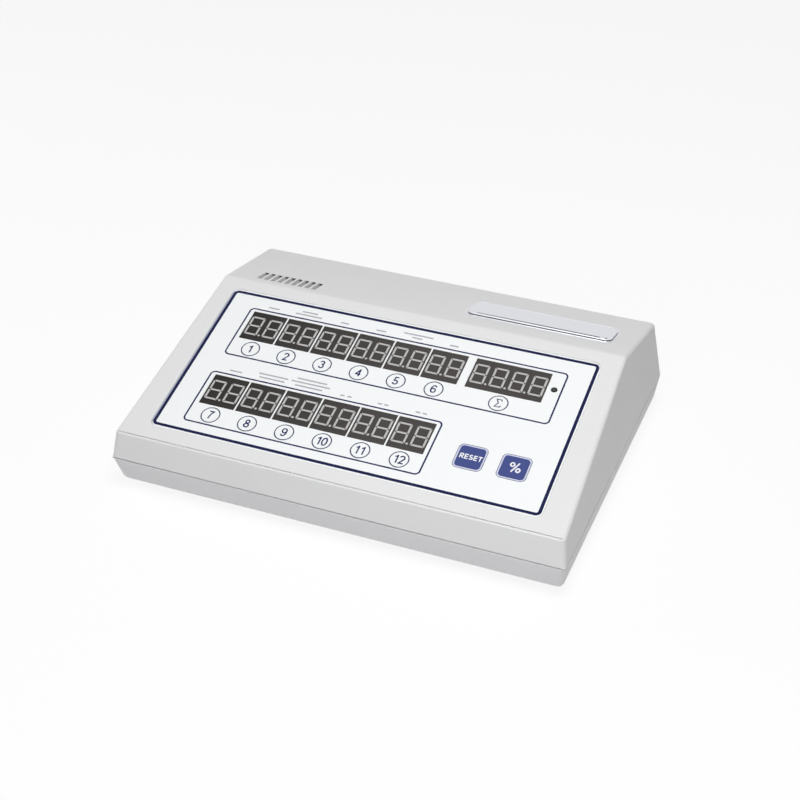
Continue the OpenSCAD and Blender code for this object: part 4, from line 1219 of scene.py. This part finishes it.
class COUNTER_OT_panel_print(bpy.types.Operator):
    """Print the border, frames, rings and captions on the panel"""
    bl_idname = "counter.panel_print"
    bl_label = "Panel print"

    def execute(self, context):
        panel, display, colours = chosen("panel", "display", "colours")
        deck = deck_frame(panel_top())
        low_ink = 0.8 * INK
        border = printed_line("border", panel.border_width, panel.border_height,
                              BORDER_RADIUS - panel.border_line / 2, panel.border_line, INK)
        printed("panel_border", [border], deck, ink("navy border ink", colours.border))
        # painted shade along the recess's left end
        self.margin(deck, low_ink)
        lines = []
        for left, right, bottom, top in (FRAME_1, FRAME_2):
            middle = ((left + right) / 2 * MM, (bottom + top) / 2 * MM)
            lines.append(printed_line("frame", (right - left) * MM, (top - bottom) * MM,
                                      FRAME_RADIUS, panel.frame_line, INK, middle))
        rims = []
        inside = panel.square_key + 2 * KEY_GAP
        outside = RIM_WIDTH - RIM_LINE
        for spot in (RESET_PLACE, PERCENT_PLACE):
            lines.append(printed_line("rim line", RIM_WIDTH, RIM_WIDTH, RIM_CORNERS[0], RIM_LINE,
                                      INK, spot))
            wide = (outside + inside) / 2
            rims.append(printed_line("rim", wide, wide, RIM_CORNERS[1], (outside - inside) / 2,
                                     low_ink, spot))
        thin = ink("thin navy ink", colours.frames)
        printed("panel_frames", lines, deck, thin)
        first = dual_middles()[0]
        rows = [(first, level, display.row_count) for level in KEY_LEVELS] + [(*SUM_PLACE, 1)]
        rings = [place(in_a_row("ring", "row of rings", Radius=panel.ring_radius,
                                Line=panel.ring_line, Ink=2 * INK, Count=count,
                                Pitch=dual_pitch(), Material=thin), moved(x, y))
                 for x, y, count in rows]
        printed("key_rings", rings, deck, thin)
        printed("key_rims", rims, deck, ink("pale rim ink", colours.key_rim))
        dashes = []
        for level, spans in CAPTIONS:
            for left, right in spans:
                shape = rounded_rect((right - left) * MM, CAPTION_STROKE, CAPTION_RADIUS, 2,
                                     ((left + right) / 2 * MM, level * MM))
                dashes.append(prism("dash", shape, -UNDER, INK))
        printed("caption_dashes", dashes, deck, ink("grey caption ink", colours.captions))
        return {"FINISHED"}

    def margin(self, deck, top):
        """The grey strip outside the border, at the left end only: painted shade, standing in for
        the shade in the recess beside the border.
        """
        panel, colours = chosen("panel", "colours")
        line = (panel.width - panel.border_width - panel.border_line) / 2 - MARGIN_GAP
        grow = -2 * MARGIN_GAP - line
        edge = printed_line("panel_margin", panel.width + grow, panel.height + grow,
                            panel.radius - line, line, top)
        side = (panel.width - 3 * line) / 2
        rest = rounded_rect(2 * panel.width, 2 * panel.height, 0.1 * MARGIN_GAP, 1,
                            (panel.width - side, 0))
        combine(edge, prism("rest", rest, -OVER, OVER))
        finish(place(edge, deck), ink("margin ink", colours.margin))


class COUNTER_OT_displays(bpy.types.Operator):
    """Make the display faces with their unlit segments"""
    bl_idname = "counter.displays"
    bl_label = "Displays"

    def execute(self, context):
        display, colours = chosen("display", "colours")
        face = plastic("display face", colours.display, 0.3, 0.03, 900.0, 0.12,
                       Specular_IOR_Level=0.15)
        # painted reflection: the faces grow lighter to the right, standing in for their gloss
        # reflecting the light
        fade_sideways(face, colours.display, From=-display.left, To=DOT_AT[0], First=0.48,
                      Last=1.4)
        names = [f"dual_display_{i:02d}" for i in range(1, 2 * display.row_count + 1)]
        dress(face, *names, "total_display")
        lit = plastic("unlit segment", colours.segment, 0.38, 0.05, 1800.0, 0.1)
        bottom = -display.window_height / 2
        for index, level in enumerate(row_levels(), 1):
            pair = join("pair", [self.digit(0), self.digit(display.pitch), self.dot()])
            row = row_of(f"segments_row_{index}", pair, display.row_count, dual_pitch(), lit)
            self.put(row, -display.left, level + bottom, lit)
        digits = row_of("digits", self.digit(0), display.total_digits, display.pitch, lit)
        dots = row_of("dots", self.dot(), display.total_digits - 1, display.pitch, lit)
        total = join("segments_total", [digits, dots])
        self.put(total, display.total_right, display.row_1_up + bottom, lit)
        return {"FINISHED"}

    def put(self, segments, x, y, material):
        place(segments, deck_frame(-chosen("display").drop) @ moved(x, y))
        finish(segments, material)

    def flat(self, outline):
        return prism("segment", [(p[0], p[1]) for p in outline], -UNDER, SEGMENT_TOP)

    def segment(self, start, end, out, reaches):
        """A segment between two joints, its outer edge longer by the reaches, the inner mitred."""
        half = chosen("display").stroke / 2
        along = (end - start).normalized()
        a = start + along * SEGMENT_GAP
        b = end - along * SEGMENT_GAP
        return self.flat([a - along * reaches[0] * half + out * half,
                          a + along * half - out * half,
                          b - along * half - out * half,
                          b + along * reaches[1] * half + out * half])

    def digit(self, right):
        """The seven segments of a digit, from the window's lower left corner."""
        display = chosen("display")
        half = display.stroke / 2
        corner = Vector((right + DIGIT_AT[0] + half, DIGIT_AT[1] + half))
        width = display.digit_width - display.stroke
        height = (display.digit_height - display.stroke) / 2
        joint = [[corner + Vector((i * width, j * height)) for i in (0, 1)] for j in (0, 1, 2)]
        both = (SEGMENT_REACH, SEGMENT_REACH)
        bars = [self.segment(*joint[2 * top], Vector((0, 2 * top - 1)), both) for top in (0, 1)]
        for side in (0, 1):
            out = Vector((2 * side - 1, 0))
            bars += [self.segment(joint[end][side], joint[1][side], out, (SEGMENT_REACH, 0))
                     for end in (0, 2)]
        nose = Vector((half, 0))
        rise = Vector((0, half))
        gap = Vector((SEGMENT_GAP, 0))
        a, b = joint[1][0] + gap, joint[1][1] - gap
        bars.append(self.flat([a, a + nose - rise, b - nose - rise, b, b - nose + rise,
                               a + nose + rise]))
        return join("digit", bars)

    def dot(self):
        return self.flat(circle(DOT_HALF, DOT_AT, 20))


class COUNTER_OT_indicator(bpy.types.Operator):
    """Make the dark indicator light"""
    bl_idname = "counter.indicator"
    bl_label = "Indicator light"

    def execute(self, context):
        top = panel_top()
        dull = {"roughness": 0.4, "grain": 0.02, "scale": 900.0, "cloud": 0.1,
                "Specular_IOR_Level": 0.1}
        lens = rounded_slab("indicator_lens", round_shape(LED_RADIUS, LED_PLACE, 48),
                            display_board_top(), top, LED_EDGE)
        dark = plastic("indicator lens", srgb(48, 46, 46), **dull)
        finish(smooth(place(lens, deck_frame())), dark,
               nodes=["indicator_light"])
        outline = circle(LED_RADIUS / 2, LED_PLACE, 32)
        die = prism("indicator_die", outline, top - INK, top + 0.5 * INK)
        pale = plastic("indicator die", srgb(84, 82, 82), **dull)
        finish(place(die, deck_frame()), pale)
        return {"FINISHED"}


class COUNTER_OT_keys(bpy.types.Operator):
    """Make the key caps with their numbers and legends"""
    bl_idname = "counter.keys"
    bl_label = "Keys"

    def execute(self, context):
        panel, colours = chosen("panel", "colours")
        white = (plastic("white key cap", colours.sheet, 0.36, 0.02, 1400.0, 0.012),
                 ink("key number ink", colours.numerals))
        blue = (plastic("blue key cap", colours.key_blue, 0.36, 0.03, 1400.0, 0.04,
                        Specular_IOR_Level=0.2),
                ink("key legend ink", colours.legend))
        for number, spot in enumerate(count_key_places(), 1):
            gap = LETTER_GAP if number > 9 else 0.0
            self.key(f"count_key_{number:02d}", spot, white, str(number),
                     (panel.numeral_height, NUMERAL_WEIGHT), gap)
        self.key("sum_key", SUM_PLACE, white, "Σ", SUM_SIZE)
        self.key("reset_key", RESET_PLACE, blue, "RESET", RESET_SIZE, LETTER_GAP,
                 stretch=RESET_STRETCH, shift=RESET_SHIFT, square=True)
        self.key("percent_key", PERCENT_PLACE, blue, "%", PERCENT_SIZE, shift=PERCENT_SHIFT,
                 square=True)
        return {"FINISHED"}

    def key(self, name, spot, materials, text, size, tracking=0.0, stretch=1.0, shift=0.0,
            square=False):
        """One cap with its stem, and its print, shifted to the right, on its own body."""
        panel = chosen("panel")
        top = panel_top() + KEY_EDGE
        if square:
            top += SQUARE_PROUD
            thickness = SQUARE_THICKNESS
            shape = rect_shape(panel.square_key, panel.square_key, SQUARE_RADIUS, spot)
        else:
            thickness = ROUND_THICKNESS
            shape = round_shape(panel.key_diameter / 2, spot, RING_SIDES)
        cap = rounded_slab(f"{name}_cap", shape, top - thickness, top, KEY_EDGE)
        stem = prism("stem", circle(STEM_RADIUS, spot, 40), display_board_top() + STEM_LOW,
                     top - thickness / 2)
        combine(cap, stem, "UNION")
        mark = lettering(f"{name}_mark", text, *size, top, (spot[0] + shift, spot[1]), tracking,
                         stretch)
        finish(smooth(place(cap, deck_frame())), materials[0], name, [name])
        finish(place(mark, deck_frame()), materials[1], name)


class COUNTER_OT_nameplate(bpy.types.Operator):
    """Make the bare silver plate on the band"""
    bl_idname = "counter.nameplate"
    bl_label = "Nameplate"

    def execute(self, context):
        plate, colours = chosen("plate", "colours")
        here = band_frame() @ moved(plate.right, plate.back)
        shape = rect_shape(plate.width, plate.depth, plate.radius, steps=12)
        high = plate.thickness - PLATE_SEAT
        body = self.body(shape, high)
        face = high - PLATE_SINK
        outlines = self.engraving()
        combine(body, join("grooves", [prism("groove", outline, face - LINE_DEPTH, high + OVER)
                                       for outline in outlines]))
        # painted shade: the engraved line and dot are real grooves, but their dark fills, and a
        # dark band in the gap above the rim, stand in for the shade along the plate's lower edge
        painted_shades = [prism("fill", outline, face - 2 * LINE_DEPTH, face - 0.6 * LINE_DEPTH)
                 for outline in outlines]
        painted_shades.append(prism("gasket", shape(-SHADE_BAND_IN), PLATE_RIM_TOP - 2 * PLATE_STEP,
                           PLATE_FOOT + UNDER))
        smooth(place(body, here))
        silver = metal("satin silver", colours.plate, 0.34)
        finish(body, silver, nodes=["nameplate"])
        dark = plastic("dark groove fill", srgb(58, 60, 68), 0.6, 0.05, Specular_IOR_Level=0.1)
        finish(place(join("plate_line", painted_shades), here), dark)
        return {"FINISHED"}

    def body(self, shape, high):
        """The plate with a low rim round its seat, a gap above it and a bevelled edge."""
        gap = shape(-PLATE_GAP_IN)
        layers = [[gap, -PLATE_SEAT], [gap, UNDER], [shape(PLATE_RIM), PLATE_STEP],
                  [shape(PLATE_RIM), 0.55 * PLATE_RIM_TOP], [shape(0.5 * PLATE_RIM), PLATE_RIM_TOP],
                  [gap, PLATE_RIM_TOP + PLATE_STEP], [gap, PLATE_FOOT - PLATE_STEP],
                  [shape(0), PLATE_FOOT]]
        layers += [[shape(-PLATE_BEVEL * c), high - PLATE_BEVEL_DROP * s] for c, s in quarter(6)]
        layers += [[shape(-PLATE_BEVEL - PLATE_LAND[0]), high],
                   [shape(-PLATE_BEVEL - PLATE_LAND[1]), high - PLATE_SINK]]
        return stack("silver_plate", layers)

    def engraving(self):
        """Outlines of the line along the lower edge and of the dot at its right end."""
        plate = chosen("plate")
        level = LINE_IN - plate.depth / 2
        rise = level + LINE_RISE
        left, right = LINE_ENDS[0] - plate.width / 2, plate.width / 2 - LINE_ENDS[1]
        narrow, wide = LINE_HALVES
        line = [(left, rise - narrow), (right, level - wide), (right, level + wide),
                (left, rise + narrow)]
        return line, circle(DOT_RADIUS, (plate.width / 2 - DOT_IN[0], level + DOT_IN[1]), 20)


class COUNTER_OT_rear_bay(bpy.types.Operator):
    """Give the bay, the inlet and the switch their finishes, and mark the rocker"""
    bl_idname = "counter.rear_bay"
    bl_label = "Rear bay"

    def execute(self, context):
        case, colours = chosen("case", "colours")
        dress(upper_plastic(), "inlet_bay")
        dress(plastic("moulded black", srgb(30, 30, 32), 0.45, 0.12),
              "mains_inlet", "switch_frame", "key_switches", "buzzer")
        dress(plastic("rocker black", srgb(24, 24, 26), 0.22, 0.02), "switch_rocker")
        rocker = (bay_frame() @ moved(case.bay_right - SWITCH_RIGHT, 0, ROCKER_PIVOT)
                  @ turned(ROCKER_TILT) @ moved(z=ROCKER_MIDDLE))
        bar = [(0, -MARK_REACH), (0, MARK_REACH)]
        ring = circle(MARK_REACH, sides=32) + [None]
        marks = []
        for side, points in ((1, bar), (-1, ring)):         # for on and for off
            mark = stroke_solid("mark", points, MARK_HALF_LINE, -INK, INK)
            face = turned(side * ROCKER_TILT) @ moved(0, side * ROCKER_MARK)
            marks.append(place(mark, rocker @ face))
        pale = ink("key legend ink", colours.legend)
        finish(join("rocker_marks", marks), pale, "switch_rocker")
        return {"FINISHED"}


class COUNTER_OT_inner_parts(bpy.types.Operator):
    """Give the boards, the transformer, the wires, screws and feet their finishes"""
    bl_idname = "counter.inner_parts"
    bl_label = "Inner parts"

    def execute(self, context):
        dress(plastic("solder mask", srgb(24, 92, 52), 0.3, 0.04, 700.0, 0.25),
              "display_board", "main_board")
        dress(metal("zinc plated steel", srgb(190, 192, 196), 0.38, (900.0, 900.0, 900.0)),
              "display_board_screws", "main_board_screws", "case_screws", "inlet_screws",
              "transformer_screws")
        dress(plastic("moulded epoxy", srgb(34, 34, 36), 0.55, 0.15),
              "processor_chip", "driver_chips", "voltage_regulator")
        dress(plastic("capacitor sleeve", srgb(42, 50, 92), 0.25, 0.03), "capacitors")
        dress(metal("extruded aluminium", srgb(150, 152, 156), 0.42, (900.0, 900.0, 60.0)),
              "heat_sink")
        dress(metal("laminated steel", srgb(96, 92, 88), 0.55, (200.0, 3000.0, 200.0)),
              "transformer_core")
        dress(plastic("amber tape", srgb(186, 138, 62), 0.4, 0.2, 500.0, 0.2),
              "transformer_coil")
        dress(plastic("ribbon cable", srgb(158, 160, 166), 0.5, 0.2, 400.0, 0.1), "ribbon_cable")
        dress(plastic("wire sleeve", srgb(126, 66, 36), 0.4, 0.05), "wire_harness")
        dress(plastic("foot rubber", srgb(36, 36, 38), 0.8, 0.35, 1800.0, 0.1),
              *[f"rubber_foot_{number}" for number in range(1, 5)])
        return {"FINISHED"}


# ---- Stage ----

FLOOR_HALF = 3.0                    # metres
FLOOR_SHADE = 0.62                  # what the light from the floor is weakened to
FLOOR_GLOW = 0.88                   # how much of the floor that the camera sees is plain white
LAMPS = (("top", (0.22, -0.29, 1.13), 0.6),         # name, place and diameter in metres
         ("front", (0.2, -1.4, 0.47), 0.75),
         ("side", (0.9, -0.8, 0.3), 0.4),
         ("left", (-1.1, 0.1, 0.38), 0.5))


class COUNTER_OT_stage(bpy.types.Operator):
    """Set up the floor, the light and the camera"""
    bl_idname = "counter.stage"
    bl_label = "Stage"

    def execute(self, context):
        scene = context.scene
        scene.view_settings.view_transform = "Standard"
        stage = chosen("stage")
        camera = bpy.data.cameras.new("camera")
        camera.lens = stage.focal_length
        camera.sensor_width = 36
        camera.shift_x = stage.shift_x
        camera.shift_y = stage.shift_y
        camera.clip_start = 0.01
        view = add_object("camera", camera)
        view.location = (stage.camera_x, stage.camera_y, stage.camera_z)
        view.rotation_euler = (stage.camera_pitch, stage.camera_roll, stage.camera_turn)
        scene.camera = view
        self.floor()
        for name, spot, size in LAMPS:
            lamp = self.lamp(f"{name} lamp", spot, size, getattr(stage, f"{name}_power"))
            lamp.visible_glossy = name != "left"    # its glare would show on the deck
        self.world(scene, stage)
        return {"FINISHED"}

    def seen_directly(self, tree):
        """1 for camera, glossy and transmission rays, and 0 for the others."""
        path = tree.nodes.new("ShaderNodeLightPath").outputs
        both = math_node(tree, "ADD", path["Is Camera Ray"], path["Is Glossy Ray"], clamp=True)
        return math_node(tree, "ADD", both, path["Is Transmission Ray"], clamp=True)

    def mix(self, tree, share, first, second, output):
        """Puts out a mix of two shaders."""
        node = add_node(tree, "ShaderNodeMixShader", Fac=share)
        tree.links.new(first.outputs[0], node.inputs[1])
        tree.links.new(second.outputs[0], node.inputs[2])
        tree.links.new(node.outputs[0], tree.nodes.new(output).inputs["Surface"])

    def floor(self):
        mesh = bpy.data.meshes.new("floor")
        corners = [(x * FLOOR_HALF, y * FLOOR_HALF, 0)
                   for x, y in ((-1, -1), (1, -1), (1, 1), (-1, 1))]
        mesh.from_pydata(corners, [], [(0, 1, 2, 3)])
        floor = add_object("floor", mesh)
        material = bpy.data.materials.new("pale floor")
        material.use_nodes = True
        tree = material.node_tree
        tree.nodes.clear()
        shade = add_node(tree, "ShaderNodeMapRange", To_Min=FLOOR_SHADE,
                         Value=self.seen_directly(tree))
        matte = add_node(tree, "ShaderNodeBsdfDiffuse", Color=shade.outputs[0])
        share = math_node(tree, "MULTIPLY", self.seen_directly(tree), FLOOR_GLOW)
        self.mix(tree, share, matte, add_node(tree, "ShaderNodeEmission"),
                 "ShaderNodeOutputMaterial")
        mesh.materials.append(material)

    def lamp(self, name, spot, size, power):
        data = bpy.data.lights.new(name, "AREA")
        data.shape = "DISK"
        data.size = size
        data.energy = power
        lamp = add_object(name, data)
        lamp.location = spot
        lamp.rotation_euler = (-Vector(spot)).to_track_quat("-Z", "Y").to_euler()
        return lamp

    def world(self, scene, stage):
        world = bpy.data.worlds.new("studio")
        scene.world = world
        world.use_nodes = True
        tree = world.node_tree
        tree.nodes.clear()
        soft, plain = [add_node(tree, "ShaderNodeBackground", Color=(1, 1, 1, 1), Strength=strength)
                       for strength in (stage.world_strength, 1.0)]
        self.mix(tree, self.seen_directly(tree), soft, plain, "ShaderNodeOutputWorld")


STEPS = (COUNTER_OT_stage, COUNTER_OT_upper_housing, COUNTER_OT_lower_housing,
         COUNTER_OT_control_panel, COUNTER_OT_panel_print, COUNTER_OT_displays,
         COUNTER_OT_indicator, COUNTER_OT_keys, COUNTER_OT_nameplate, COUNTER_OT_rear_bay,
         COUNTER_OT_inner_parts)
GROUPS = {"counter_case": CaseSizes, "counter_plate": PlateSizes, "counter_panel": PanelSizes,
          "counter_display": DisplaySizes, "counter_colours": CounterColours,
          "counter_stage": StageSettings}


class COUNTER_PT_pieces(bpy.types.Panel):
    """Lists the steps that make the counter"""
    bl_label = "Cell counter"
    bl_idname = "COUNTER_PT_pieces"
    bl_space_type = "VIEW_3D"
    bl_region_type = "UI"
    bl_category = "Counter"

    def draw(self, context):
        for step in STEPS:
            self.layout.operator(step.bl_idname)


def register():
    for name, group in GROUPS.items():
        bpy.utils.register_class(group)
        setattr(bpy.types.Scene, name, bpy.props.PointerProperty(type=group))
    for step in STEPS:
        bpy.utils.register_class(step)
    bpy.utils.register_class(COUNTER_PT_pieces)


def unregister():
    bpy.utils.unregister_class(COUNTER_PT_pieces)
    for step in reversed(STEPS):
        bpy.utils.unregister_class(step)
    for name, group in reversed(list(GROUPS.items())):
        delattr(bpy.types.Scene, name)
        bpy.utils.unregister_class(group)


def main():
    register()
    for step in STEPS:
        section, name = step.bl_idname.split(".")
        getattr(getattr(bpy.ops, section), name)()


if __name__ == "__main__":
    main()
